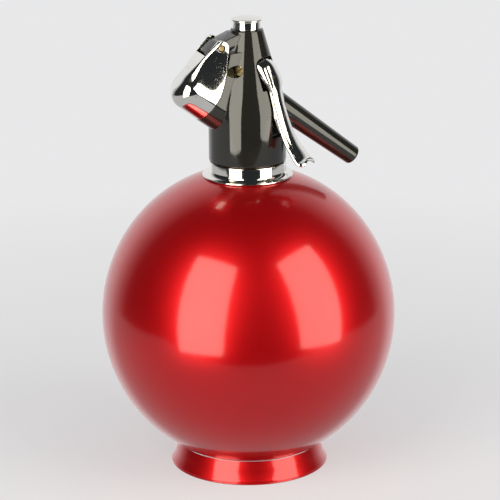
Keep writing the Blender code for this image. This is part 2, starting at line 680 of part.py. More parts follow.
def build_cap():
    """Domed chrome cap with its spigot."""
    low = TOWER_TOP_Z + CLEARANCE
    edge = low + CAP_HEIGHT - CAP_DOME_HEIGHT
    dome = bend((0, low + CAP_HEIGHT), (CAP_RADIUS / 2, low + CAP_HEIGHT),
                (CAP_RADIUS - CAP_EDGE_ROUND, edge), 5)
    foot = low - CAP_SPIGOT_LENGTH
    cap = turned("cap_turned", [*dome, (CAP_RADIUS, edge - CAP_EDGE_ROUND), (CAP_RADIUS, low),
                                (CAP_SPIGOT_RADIUS, low), (CAP_SPIGOT_RADIUS, foot), (0, foot)],
                 WORLD)
    piece("top_cap", cap, CHROME, NECK_AXIS)


def in_pod(out, height):
    """Pod coordinates of a point given by its distance from the tower's axis and its height."""
    rise = height - POD_CROSS_Z
    along = out * math.cos(POD_TILT) + rise * math.sin(POD_TILT)
    across = rise * math.cos(POD_TILT) - out * math.sin(POD_TILT)
    return along, across


def u_prism(name, half_width, low, high, top):
    """Bar along the pod: half round below the pod's axis, with straight sides above."""
    section = [*arc((0, 0), half_width, 90, 270, 20), (top, -half_width), (top, half_width)]
    return plate(name, section, low, high, POD_AXIAL)


def lid_rear(shift):
    """Rear edge of the lid from its lowest point up, as far from it as the shift says."""
    back_shares = ((0.0, -0.60), (0.0, 0.168), (0.068, 0.370), (0.21, 0.653))
    return [(LID_BACK + out * LID_REACH - shift, up * LID_HINGE_UP) for out, up in back_shares]


def lid_front(inset):
    """Front face of the lid at its middle, from the top edge down."""
    front_shares = ((0.86, 0.95), (0.905, 0.76), (0.925, 0.52), (0.955, 0.30), (0.99, 0.14),
                    (1.0, 0.0), (1.0, -0.60))
    return [(LID_BACK + out * LID_REACH - inset, up * LID_HINGE_UP) for out, up in front_shares]


def lid_volume(name, inset, outline):
    """Lid as a solid, or with an inset the space inside it."""
    half_width = POD_HALF_WIDTH - inset
    low = LID_BACK - LID_REACH
    high = LID_FRONT - inset
    top = LID_HINGE_UP + 2 * LID_EAR_RADIUS
    nose = u_prism(name + "_nose", half_width + CLEARANCE, low - OVERRUN, high + CLEARANCE, top)
    bevel(nose, LID_NOSE_ROUND - inset, 5)
    face = u_prism(name + "_face", half_width, low, high, top)
    bevel(face, max(LID_EDGE_ROUND - inset, CLEARANCE), 2)
    side = LID_FRONT - LID_NOSE_ROUND
    slant = plate(name + "_slant", [(side - LID_HINGE_UP, -2 * LID_HINGE_UP), (side, 0),
                                    (LID_FRONT - LID_EDGE_ROUND, LID_HINGE_UP * 2 / 5),
                                    (LID_FRONT + OVERRUN, LID_HINGE_UP * 3 / 5),
                                    (LID_FRONT + OVERRUN, top + OVERRUN),
                                    (low - OVERRUN, top + OVERRUN)],
                  -POD_HALF_WIDTH - OVERRUN, POD_HALF_WIDTH + OVERRUN, POD_SIDE)
    side_view = plate(name + "_side", outline, -POD_HALF_WIDTH - OVERRUN,
                      POD_HALF_WIDTH + OVERRUN, POD_SIDE)
    return keep(face, join(nose, slant), side_view)


def build_lid():
    """Chrome lid with its two ears, its hinge pin and the pad that presses on the charger."""
    hinge = (LID_HINGE_OUT, LID_HINGE_UP)
    ears = arc(hinge, LID_EAR_RADIUS, 160, 0, 12)
    outside = lid_volume("lid", 0.0, [*lid_rear(0.0), *ears, *lid_front(0.0)])
    far_back = LID_BACK - 2 * OVERRUN
    high = LID_HINGE_UP + 2 * LID_EAR_RADIUS + 2 * OVERRUN
    inside_front = lid_front(LID_WALL)
    inside = lid_volume("lid_space", LID_WALL, [(far_back, -POD_HALF_WIDTH - OVERRUN),
                                                (far_back, high), (inside_front[0][0], high),
                                                *inside_front])
    gap = box("lid_gap", (far_back, LID_TOP_EDGE, -LID_INNER_HALF_WIDTH),
              (LID_FRONT + OVERRUN, high, LID_INNER_HALF_WIDTH), POD_SIDE)
    reach = POD_HALF_WIDTH + OVERRUN
    hole = rod("lid_pin_hole", LID_PIN_RADIUS + CLEARANCE, -reach, reach, LID_PIN_PLACE)
    piece("charge_lid", cut(outside, inside, gap, hole), CHROME, LID_AXIS)

    pin = rod("lid_pin_rod", LID_PIN_RADIUS, -POD_HALF_WIDTH, POD_HALF_WIDTH, LID_PIN_PLACE)
    piece("lid_pin", pin, BRASS, NECK_AXIS)

    seat = LID_FRONT - LID_WALL - 2 * CLEARANCE
    pad = rod("pad_disc", LID_PAD_RADIUS, seat - LID_PAD_HEIGHT, seat, POD_AXIAL)
    piece("lid_pad", pad, RUBBER, LID_AXIS)


def build_charge_socket():
    """Sleeve, washer and piercing pin that take the gas charger."""
    sleeve = ring("sleeve_ring", SLEEVE_RADIUS, SLEEVE_BORE, CHARGER_SHOULDER + CLEARANCE,
                  POD_RIM + SLEEVE_PROUD, POD_AXIAL)
    piece("charge_sleeve", sleeve, ALUMINIUM, NECK_AXIS)
    washer = ring("seal_ring", CHARGER_NECK_RADIUS, SEAL_BORE_RADIUS, SEAL_BACK, CHARGER_SEAT,
                  POD_AXIAL, SMALL_STEPS)
    piece("charge_seal", washer, RUBBER, NECK_AXIS)
    point = PIN_FRONT + PIN_SHANK_LENGTH
    pin = turned("pin_turned", [(0, point), (PIN_SHANK_RADIUS, point - 2 * PIN_SHANK_RADIUS),
                                (PIN_SHANK_RADIUS, PIN_FRONT), (PIN_HEAD_RADIUS, PIN_FRONT),
                                (PIN_HEAD_RADIUS, PIN_BACK), (0, PIN_BACK)], POD_AXIAL,
                 steps=SMALL_STEPS)
    piece("piercing_pin", pin, STEEL, NECK_AXIS)


def charge_bore():
    """Space in the head for the sleeve, the charger's neck, the washer and the pin."""
    neck = CHARGER_NECK_RADIUS + CLEARANCE
    pocket = PIN_HEAD_RADIUS + CLEARANCE
    end = PIN_BACK - CLEARANCE
    seat = SEAL_BACK - CLEARANCE
    return turned("charge_bore", [(0, POD_RIM + OVERRUN), (POD_BORE, POD_RIM + OVERRUN),
                                  (POD_BORE, CHARGER_SHOULDER), (neck, CHARGER_TAPER_END),
                                  (neck, seat), (pocket, seat), (pocket, end), (0, end)],
                  POD_AXIAL)


def lever_slot():
    """Space in the head for the lever: wide round its ears and narrow below them."""
    far = TOWER_RADIUS + OVERRUN
    pin_floor = LEVER_PIN_Z - LEVER_EAR_RADIUS - 3 * RUNNING_GAP
    wide_floor = LEVER_CROWN_Z - LEVER_LENGTH * 0.297
    wide = plate("slot_wide", [(-CAVITY_BACK, CAVITY_FLOOR_Z), (-CAVITY_BACK, CAVITY_TOP_Z),
                               (far, CAVITY_TOP_Z), (far, wide_floor),
                               (LEVER_CROWN_OUT, wide_floor),
                               (LEVER_PIN_OUT - STEM_FOOT_RADIUS, pin_floor),
                               (LEVER_PIN_OUT - LEVER_EAR_RADIUS - RUNNING_GAP, CAVITY_FLOOR_Z)],
                 -CAVITY_HALF_WIDTH, CAVITY_HALF_WIDTH, LEVER_SIDE)
    depth_shares = ((0.02, 0.20), (0.24, 0.28), (0.48, 0.40), (0.55, 0.48), (0.615, 0.54),
                    (0.71, 0.635), (0.82, 0.735), (0.90, 0.785), (1.08, 0.81))
    start = LEVER_PIN_OUT - STEM_FOOT_RADIUS
    back = [(start + out * (TOWER_RADIUS - start), LEVER_CROWN_Z - down * LEVER_LENGTH)
            for out, down in depth_shares]
    half = LEVER_WAIST_HALF_WIDTH + RUNNING_GAP
    narrow = plate("slot_narrow", [*back, (far, back[-1][1]), (far, back[0][1])], -half, half,
                   LEVER_SIDE)
    return wide, narrow


def tower_radius(height):
    """Radius of the tower's cone at a height."""
    share = (height - TOWER_CONE_Z) / (TOWER_NECK_Z - TOWER_CONE_Z)
    return TOWER_CONE_RADIUS + share * (TOWER_NECK_RADIUS - TOWER_CONE_RADIUS)


def lever_pin_ends():
    """Near end, head and far end of the lever's pin, along its axis."""
    skin = math.sqrt(tower_radius(LEVER_PIN_Z) ** 2 - LEVER_PIN_OUT ** 2)
    near = skin - LEVER_PIN_SUNK
    return near, near - LEVER_PIN_HEAD_LENGTH, LEVER_PIN_SUNK - skin


def build_housing(outlet):
    """Moulded head: tower, charge pod, hinge block and arm, with everything cut out of it."""
    shoulder = bend((TOWER_CONE_RADIUS, TOWER_CONE_Z), (TOWER_RADIUS, TOWER_BEND_Z),
                    (TOWER_RADIUS, TOWER_SHOULDER_Z), 7)
    edge = TOWER_EDGE_ROUND
    tower = turned("tower", [(0, TOWER_TOP_Z), (TOWER_TOP_RADIUS - edge, TOWER_TOP_Z),
                             (TOWER_TOP_RADIUS, TOWER_TOP_Z - edge),
                             (TOWER_NECK_RADIUS, TOWER_NECK_Z), *shoulder,
                             (TOWER_RADIUS, TOWER_BASE_Z + edge),
                             (TOWER_RADIUS - edge, TOWER_BASE_Z), (0, TOWER_BASE_Z)], WORLD,
                   steps=GLOBE_STEPS)
    rear = lid_rear(CLEARANCE)
    ear_gap = LID_EAR_RADIUS + 2 * RUNNING_GAP
    top = LID_HINGE_UP + 2 * LID_EAR_RADIUS
    ear_side = (LID_HINGE_OUT - ear_gap, LID_HINGE_UP)
    inner_low = (-LID_EAR_RADIUS, -POD_HALF_WIDTH - OVERRUN)
    inner_high = in_pod(TOWER_TOP_RADIUS * 3 / 4, TOWER_TOP_Z - TOWER_RADIUS / 2)
    reach = POD_HALF_WIDTH + OVERRUN
    pod = u_prism("pod", POD_HALF_WIDTH, inner_low[0], LID_FRONT, top)
    pod_side = plate("pod_side", [inner_low, *rear, ear_side, inner_high], -reach, reach,
                     POD_SIDE)

    block_half = LID_INNER_HALF_WIDTH - CLEARANCE - LID_EAR_RADIUS / 40
    hinge = (LID_HINGE_OUT, LID_HINGE_UP)
    boss = arc(hinge, HINGE_BOSS_RADIUS, 0, 75, 6)
    arm_foot = in_pod(ARM_FOOT_RADIUS, TOWER_TOP_Z - ARM_DROP)
    arm_root = in_pod(0, TOWER_TOP_Z - ARM_DROP)
    block_face = LID_HINGE_OUT + HINGE_BOSS_RADIUS
    block_low = LID_TOP_EDGE + CLEARANCE
    block = plate("hinge_block", [rear[2], (rear[3][0], block_low),
                                  (LID_HINGE_OUT + STEM_RADIUS, block_low),
                                  (block_face, LID_HINGE_UP - HINGE_BOSS_RADIUS), *boss,
                                  arm_foot, arm_root, inner_high],
                  -block_half, block_half, POD_SIDE)
    bevel(block, HINGE_BLOCK_ROUND)
    housing = join(tower, keep(pod, pod_side), block)

    recess = rod("insert_recess", INSERT_RADIUS + CLEARANCE, TOWER_BASE_Z - OVERRUN,
                 INSERT_TOP_Z + CLEARANCE, WORLD, ROUND_STEPS)
    cap_recess = rod("cap_recess", CAP_SPIGOT_RADIUS + CLEARANCE, SPIGOT_FLOOR_Z,
                     TOWER_TOP_Z + OVERRUN, WORLD, ROUND_STEPS)
    spring_bore = rod("spring_bore", SPRING_BORE_RADIUS, CAVITY_TOP_Z - OVERRUN,
                      SPIGOT_FLOOR_Z + OVERRUN / 2, VALVE_PLACE)
    valve_pocket = rod("valve_pocket", VALVE_BODY_RADIUS + CLEARANCE,
                       VALVE_BODY_BASE_Z - CLEARANCE, CAVITY_FLOOR_Z + OVERRUN / 2, VALVE_PLACE)
    riser = tube("riser_way", riser_path(OVERRUN / 3), RISER_RADIUS + CLEARANCE, HEAD)
    root = SPOUT_ROOT_RADIUS + CLEARANCE
    mouth = SPOUT_RADIUS + CLEARANCE
    step = SPOUT_SHOULDER - SPOUT_SEAL_LENGTH - 2 * CLEARANCE
    start = SPOUT_ROOT_START - CLEARANCE
    spout_way = turned("spout_way", [(0, SPOUT_LENGTH / 2), (mouth, SPOUT_LENGTH / 2),
                                     (mouth, step), (root, step), (root, start), (0, start)],
                       SPOUT_AXIAL)
    near, head, far = lever_pin_ends()
    pin_way = rod("pin_way", LEVER_PIN_RADIUS + CLEARANCE, far - CLEARANCE, near,
                  LEVER_PIN_PLACE)
    head_way = rod("pin_head_way", LEVER_PIN_HOLE_RADIUS, head - CLEARANCE,
                   near + 3 * LEVER_PIN_SUNK, LEVER_PIN_PLACE)
    hinge_way = rod("hinge_way", LID_PIN_RADIUS + CLEARANCE, -reach, reach, LID_PIN_PLACE)
    cut(housing, recess, charge_bore(), *lever_slot(), valve_pocket, spring_bore, cap_recess,
        riser, spout_way, outlet, pin_way, head_way, hinge_way)
    piece("head_housing", housing, BLACK, NECK_AXIS)

    pin = turned("lever_pin_turned", [(0, near), (LEVER_PIN_HEAD_RADIUS, near),
                                      (LEVER_PIN_HEAD_RADIUS, head), (LEVER_PIN_RADIUS, head),
                                      (LEVER_PIN_RADIUS, far), (0, far)], LEVER_PIN_PLACE,
                 steps=SMALL_STEPS)
    slot = box("driver_slot", (-LEVER_PIN_HOLE_RADIUS, -LEVER_PIN_SLOT / 2,
                               near - LEVER_PIN_SLOT),
               (LEVER_PIN_HOLE_RADIUS, LEVER_PIN_SLOT / 2, near + OVERRUN), LEVER_PIN_PLACE)
    piece("lever_pin", cut(pin, slot), BRASS, NECK_AXIS)


def lever_web():
    """Outer face of the lever from its crown down to its toe, in its own plane."""
    web_shares = ((0.0, 0.0), (0.18, 0.096), (0.279, 0.204), (0.348, 0.374), (0.447, 0.53),
                  (0.594, 0.714), (0.725, 0.828), (0.877, 0.92), (1.0, 1.0))
    points = [(LEVER_CROWN_OUT + out * LEVER_THROW, LEVER_CROWN_Z - down * LEVER_LENGTH)
              for out, down in web_shares]
    return smooth(points, 2)


def lever_front(name, inset):
    """Front view of the lever, with its waist and its wide crown and toe."""
    low = LEVER_CROWN_Z - LEVER_LENGTH
    spread = LEVER_TOE_HALF_WIDTH - LEVER_WAIST_HALF_WIDTH
    flare = LEVER_CROWN_HALF_WIDTH - LEVER_WAIST_HALF_WIDTH
    waist_shares = ((0.147, 1.0), (0.225, 0.64), (0.303, 0.0))
    toe_shares = ((0.53, 0.0), (0.714, 0.17), (0.828, 0.44), (1.0, 1.0))
    side = [(LEVER_CROWN_HALF_WIDTH, LEVER_CROWN_Z + OVERRUN)]
    side += [(LEVER_WAIST_HALF_WIDTH + wide * flare, LEVER_CROWN_Z - down * LEVER_LENGTH)
             for down, wide in waist_shares]
    side += [(LEVER_WAIST_HALF_WIDTH + wide * spread, LEVER_CROWN_Z - down * LEVER_LENGTH)
             for down, wide in toe_shares]
    side.append((LEVER_TOE_HALF_WIDTH, low - OVERRUN))
    side = [(x - inset, z) for x, z in side]
    outline = [*side, *[(-x, z) for x, z in reversed(side)]]
    back = LEVER_PIN_OUT - FINGER_REACH - OVERRUN
    front = LEVER_CROWN_OUT + LEVER_THROW + LEVER_LIP + OVERRUN
    return plate(name, outline, back, front, LEVER_FRONT)


def build_lever():
    """Pressed steel lever: a channel with ears round its pin and a finger behind it."""
    outer = lever_web()
    inner = offset(outer, LEVER_THICKNESS)
    toe_out, toe_z = outer[-1]
    lip = [(toe_out + LEVER_LIP, toe_z), (toe_out + LEVER_LIP, toe_z - LEVER_THICKNESS),
           (toe_out - LEVER_THICKNESS, toe_z - LEVER_THICKNESS)]
    flange_shares = ((0.90, 0.35), (0.714, 0.85), (0.53, 1.0), (0.42, 1.15))
    flange = []
    for down, deep in flange_shares:
        z = LEVER_CROWN_Z - down * LEVER_LENGTH
        out = min(outer, key=lambda point: abs(point[1] - z))[0]
        flange.append((out - LEVER_THICKNESS - deep * (LEVER_FLANGE_DEPTH - LEVER_THICKNESS), z))
    pin = (LEVER_PIN_OUT, LEVER_PIN_Z)
    finger_end = LEVER_PIN_OUT - FINGER_REACH
    finger_low = FINGER_TOP_Z - FINGER_THICKNESS
    ear = [(LEVER_CROWN_OUT + LEVER_THICKNESS, LEVER_PIN_Z - 3 * LEVER_EAR_RADIUS),
           *arc(pin, LEVER_EAR_RADIUS, -75, -155, 4), (finger_end, finger_low),
           (finger_end, FINGER_TOP_Z), *arc(pin, LEVER_EAR_RADIUS, 155, 90, 4)]
    side = LEVER_TOE_HALF_WIDTH + OVERRUN
    blank = plate("lever_side", [*outer, *lip, *flange, *ear], -side, side, LEVER_SIDE)
    keep(blank, lever_front("lever_outside", 0.0))

    back = LEVER_PIN_OUT - FINGER_REACH - 2 * OVERRUN
    high = LEVER_CROWN_Z + 2 * OVERRUN
    low = inner[-1][1]
    space = plate("lever_space", [(inner[0][0], high), *inner, (back, low), (back, high)],
                  -side, side, LEVER_SIDE)
    keep(space, lever_front("lever_inside", LEVER_THICKNESS))
    ear_line = LEVER_CROWN_HALF_WIDTH - LEVER_THICKNESS / 2
    bridge = box("finger_bridge", (finger_end, finger_low, -ear_line),
                 (finger_end + FINGER_BRIDGE, FINGER_TOP_Z, ear_line), LEVER_SIDE)
    hole = rod("lever_pin_hole", LEVER_PIN_RADIUS + CLEARANCE, -side, side, LEVER_PIN_PLACE)
    cut(blank, space, hole)
    piece("trigger_lever", join(blank, bridge), CHROME, LEVER_AXIS)


WORLD = Matrix.Identity(4)
clear_scene()
PARTS = new_collection(OBJECT_NAME)
TOOLS = new_collection(OBJECT_NAME + "_cutters")
RED = finish("anodised_red", (0.55, 0.005, 0.012), 1.0, 0.22)
CHROME = finish("chrome", (0.86, 0.87, 0.88), 1.0, 0.07)
BLACK = finish("gloss_black", (0.012, 0.014, 0.015), 0.0, 0.12)
BRASS = finish("brass", (0.70, 0.52, 0.25), 1.0, 0.3)
ALUMINIUM = finish("aluminium", (0.80, 0.81, 0.82), 1.0, 0.35)
STEEL = finish("steel", (0.60, 0.61, 0.62), 1.0, 0.3)
RUBBER = finish("rubber", (0.02, 0.02, 0.02), 0.0, 0.8)
CLEAR_PLASTIC = finish("clear_plastic", (0.80, 0.82, 0.82), 0.0, 0.3)
NECK_AXIS = pivot("neck_axis", WORLD)
VALVE_AXIS = pivot("valve_axis", VALVE_PLACE)
LEVER_AXIS = pivot("lever_axis", LEVER_PIN_PLACE)
LID_AXIS = pivot("lid_axis", LID_PIN_PLACE)

OUTLET = outlet_hole()
build_vessel()
build_neck_fittings()
build_valve(OUTLET)
build_spout()
build_cap()
build_charge_socket()
build_housing(OUTLET)
build_lid()
build_lever()
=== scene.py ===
"""Looks of a globe soda siphon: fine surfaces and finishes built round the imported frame.

Metres, +Z up, with the origin under the middle of the foot. Sub-assemblies are classes that
hold their sizes, finishes are frozen dataclasses, and main() builds them in order.
"""

import json
import logging
import math
from dataclasses import dataclass
from enum import Enum

import bmesh
import bpy
from mathutils import Matrix, Vector


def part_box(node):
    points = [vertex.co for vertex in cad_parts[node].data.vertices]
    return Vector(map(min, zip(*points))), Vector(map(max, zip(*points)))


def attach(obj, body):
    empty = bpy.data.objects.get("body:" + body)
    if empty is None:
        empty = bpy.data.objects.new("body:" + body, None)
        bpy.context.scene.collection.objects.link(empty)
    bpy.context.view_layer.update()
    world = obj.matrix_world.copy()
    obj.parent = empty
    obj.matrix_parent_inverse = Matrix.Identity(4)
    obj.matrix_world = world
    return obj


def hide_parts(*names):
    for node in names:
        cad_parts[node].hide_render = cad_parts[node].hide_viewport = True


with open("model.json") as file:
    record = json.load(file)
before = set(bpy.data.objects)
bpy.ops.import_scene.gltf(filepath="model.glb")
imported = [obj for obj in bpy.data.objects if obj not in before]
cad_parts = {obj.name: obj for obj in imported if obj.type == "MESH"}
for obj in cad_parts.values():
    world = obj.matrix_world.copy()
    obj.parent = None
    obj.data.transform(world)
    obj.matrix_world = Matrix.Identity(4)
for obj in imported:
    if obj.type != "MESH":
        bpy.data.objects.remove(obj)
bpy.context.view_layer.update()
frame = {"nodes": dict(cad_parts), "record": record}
LOG = logging.getLogger("soda_siphon")
MERGE = 0.000005  # points closer than this become one
GAP = 0.0003  # clearance between a piece and its seat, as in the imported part
ROUND_FROM = 38.0  # degrees from which an edge counts as sharp
Outline = list[tuple[float, float]]
Shape = bpy.types.Object
Socket = bpy.types.NodeSocket


class Slot(Enum):
    """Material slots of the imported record."""

    RED = "anodised_red"
    CHROME = "chrome"
    BLACK = "gloss_black"
    BRASS = "brass"
    ALUMINIUM = "aluminium"
    STEEL = "steel"
    RUBBER = "rubber"
    CLEAR = "clear_plastic"


class Graph:
    """Adds nodes to one tree and joins them."""

    def __init__(self, tree: bpy.types.NodeTree) -> None:
        """Keep the tree that nodes are added to."""
        self.tree = tree

    def add(self, kind: str, inputs: dict | None = None, **settings: object) -> bpy.types.Node:
        """Add one node.

        Args:
            kind: The node's type name.
            inputs: Values or sockets for its inputs, by their name or number.
            settings: Values for its own properties.

        Returns:
            The new node.
        """
        node = self.tree.nodes.new(kind)
        for name, value in settings.items():
            setattr(node, name, value)
        for name, value in (inputs or {}).items():
            socket = node.inputs[name]
            if isinstance(value, Socket):
                self.tree.links.new(value, socket)
            else:
                socket.default_value = value
        return node

    def math(self, operation: str, first: object, second: object = 0.0) -> Socket:
        """Output of one math node, from two values or sockets."""
        return self.add("ShaderNodeMath", {0: first, 1: second}, operation=operation).outputs[0]

    def triple(self, values: dict) -> Socket:
        """Join numbers or sockets into one vector, by the number of their axis."""
        return self.add("ShaderNodeCombineXYZ", values).outputs[0]

    def mix(self, share: object, first: object, second: object) -> Socket:
        """Mix two colours, each a value or socket, with this share of the second."""
        node = self.add("ShaderNodeMix", {0: share, 6: first, 7: second}, data_type="RGBA")
        return node.outputs[2]

    def spread(self, value: object, low: float, high: float, start: float, end: float) -> Socket:
        """Spread a value over low to high, as it goes from start to end."""
        inputs = {"Value": value, "From Min": start, "From Max": end, "To Min": low, "To Max": high}
        return self.add("ShaderNodeMapRange", inputs).outputs["Result"]


@dataclass(frozen=True)
class Finish:
    """A surface with cloudy colour, uneven gloss, fine grain and scattered pits."""

    slot: Slot
    colour: tuple[float, float, float]
    worn: tuple[float, float, float]
    metallic: float
    gloss: tuple[float, float]
    cloud_scale: float = 30.0
    cloud_range: tuple[float, float] = (0.38, 0.68)
    gloss_range: tuple[float, float] = (0.12, 0.40)
    grain_scale: float = 900.0
    grain_height: float = 0.00001
    grain_stretch: tuple[float, float, float] = (1.0, 1.0, 1.0)
    pit_scale: float = 900.0
    pit_share: float = 0.0
    pit_colour: tuple[float, float, float] = (0.05, 0.05, 0.045)
    pit_roughness: float = 0.55
    pit_depth: float = 2.0
    pit_blur: float = 0.08
    pit_clusters: float = 0.5
    cluster_blur: float = 0.2
    cluster_scale: float = 60.0
    coat: float = 0.0
    coat_roughness: float = 0.05
    ior: float = 1.5
    edge_round: float = 0.0
    transmission: float = 0.0

    def make(self) -> bpy.types.Material:
        """Build the finish's material.

        Returns:
            The material, on Object coordinates.
        """
        material = bpy.data.materials.new("finish_" + self.slot.value)
        material.use_nodes = True
        graph = Graph(material.node_tree)
        surface = material.node_tree.nodes["Principled BSDF"]
        place = graph.add("ShaderNodeTexCoord").outputs["Object"]
        cloud = self.noise(graph, place, self.cloud_scale, 4.0)
        stretched = graph.add("ShaderNodeMapping", {"Vector": place, "Scale": self.grain_stretch})
        grain = self.noise(graph, stretched.outputs[0], self.grain_scale, 3.0)
        colour = graph.mix(graph.spread(cloud, 0.0, 1.0, *self.cloud_range), (*self.colour, 1.0),
                           (*self.worn, 1.0))
        roughness = graph.spread(graph.math("MULTIPLY", cloud, grain), *self.gloss,
                                 *self.gloss_range)
        height = grain
        if self.pit_share > 0.0:
            pits = self.pits(graph, place)
            colour = graph.mix(pits, colour, (*self.pit_colour, 1.0))
            dull = graph.math("MULTIPLY", pits, self.pit_roughness)
            roughness = graph.math("MAXIMUM", roughness, dull)
            height = graph.math("SUBTRACT", grain, graph.math("MULTIPLY", pits, self.pit_depth))
        inputs = {"Strength": 1.0, "Distance": self.grain_height, "Height": height}
        if self.edge_round > 0.0:
            bevel = graph.add("ShaderNodeBevel", {"Radius": self.edge_round}, samples=4)
            inputs["Normal"] = bevel.outputs[0]
        bump = graph.add("ShaderNodeBump", inputs)
        links = material.node_tree.links
        links.new(colour, surface.inputs["Base Color"])
        links.new(roughness, surface.inputs["Roughness"])
        links.new(bump.outputs[0], surface.inputs["Normal"])
        for name, value in (("Metallic", self.metallic), ("IOR", self.ior),
                            ("Coat Weight", self.coat), ("Coat Roughness", self.coat_roughness),
                            ("Transmission Weight", self.transmission)):
            surface.inputs[name].default_value = value
        return material

    def noise(self, graph: Graph, place: Socket, scale: float, detail: float) -> Socket:
        """Noise from 0 to 1 at a place, with a scale and a detail."""
        node = graph.add("ShaderNodeTexNoise", {"Vector": place, "Scale": scale, "Detail": detail})
        return node.outputs[0]

    def pits(self, graph: Graph, place: Socket) -> Socket:
        """Add scattered pits that gather in clusters.

        Args:
            graph: The material's graph.
            place: Where the pits are read.

        Returns:
            One inside a pit and zero outside.
        """
        cells = graph.add("ShaderNodeTexVoronoi", {"Vector": place, "Scale": self.pit_scale,
                                                   "Randomness": 1.0})
        clusters = self.noise(graph, place, self.cluster_scale, 3.0)
        reach = graph.spread(clusters, 0.0, self.pit_share, self.pit_clusters,
                             self.pit_clusters + self.cluster_blur)
        depth = graph.math("SUBTRACT", reach, cells.outputs["Distance"])
        return graph.spread(depth, 0.0, 1.0, 0.0, self.pit_blur)


FINISHES = {
    Slot.RED: Finish(Slot.RED, (0.64, 0.0004, 0.004), (0.56, 0.0003, 0.003), 0.80, (0.34, 0.44),
                     cloud_scale=14.0, grain_scale=2600.0, grain_height=0.000006,
                     pit_scale=420.0, pit_share=0.13, pit_colour=(0.20, 0.01, 0.01),
                     pit_clusters=0.62, cluster_scale=26.0, coat=1.0, coat_roughness=0.12),
    Slot.CHROME: Finish(Slot.CHROME, (0.93, 0.92, 0.88), (0.85, 0.84, 0.79), 1.0, (0.03, 0.11),
                        cloud_scale=60.0, grain_scale=1400.0, grain_height=0.000004,
                        pit_scale=1500.0, pit_share=0.50, pit_colour=(0.16, 0.15, 0.12),
                        pit_clusters=0.51, cluster_scale=110.0, edge_round=0.0003),
    Slot.BLACK: Finish(Slot.BLACK, (0.011, 0.011, 0.009), (0.016, 0.015, 0.012), 0.0,
                       (0.03, 0.09), cloud_scale=40.0, grain_scale=700.0,
                       grain_height=0.000004, pit_scale=700.0, pit_share=0.10,
                       pit_colour=(0.05, 0.045, 0.04), pit_clusters=0.60, ior=1.62,
                       edge_round=0.0005),
    Slot.BRASS: Finish(Slot.BRASS, (0.60, 0.47, 0.22), (0.30, 0.22, 0.10), 1.0, (0.22, 0.45),
                       cloud_scale=300.0, grain_height=0.00002, pit_scale=1800.0,
                       pit_share=0.4, edge_round=0.0002),
    Slot.ALUMINIUM: Finish(Slot.ALUMINIUM, (0.80, 0.81, 0.82), (0.66, 0.67, 0.68), 1.0,
                           (0.25, 0.40), grain_stretch=(1.0, 1.0, 0.05)),
    Slot.STEEL: Finish(Slot.STEEL, (0.60, 0.61, 0.62), (0.44, 0.44, 0.45), 1.0, (0.20, 0.36)),
    Slot.RUBBER: Finish(Slot.RUBBER, (0.022, 0.022, 0.022), (0.04, 0.038, 0.035), 0.0,
                        (0.60, 0.85), grain_height=0.00003),
    Slot.CLEAR: Finish(Slot.CLEAR, (0.78, 0.80, 0.80), (0.70, 0.72, 0.70), 0.0, (0.15, 0.30),
                       transmission=0.7, ior=1.46),
}


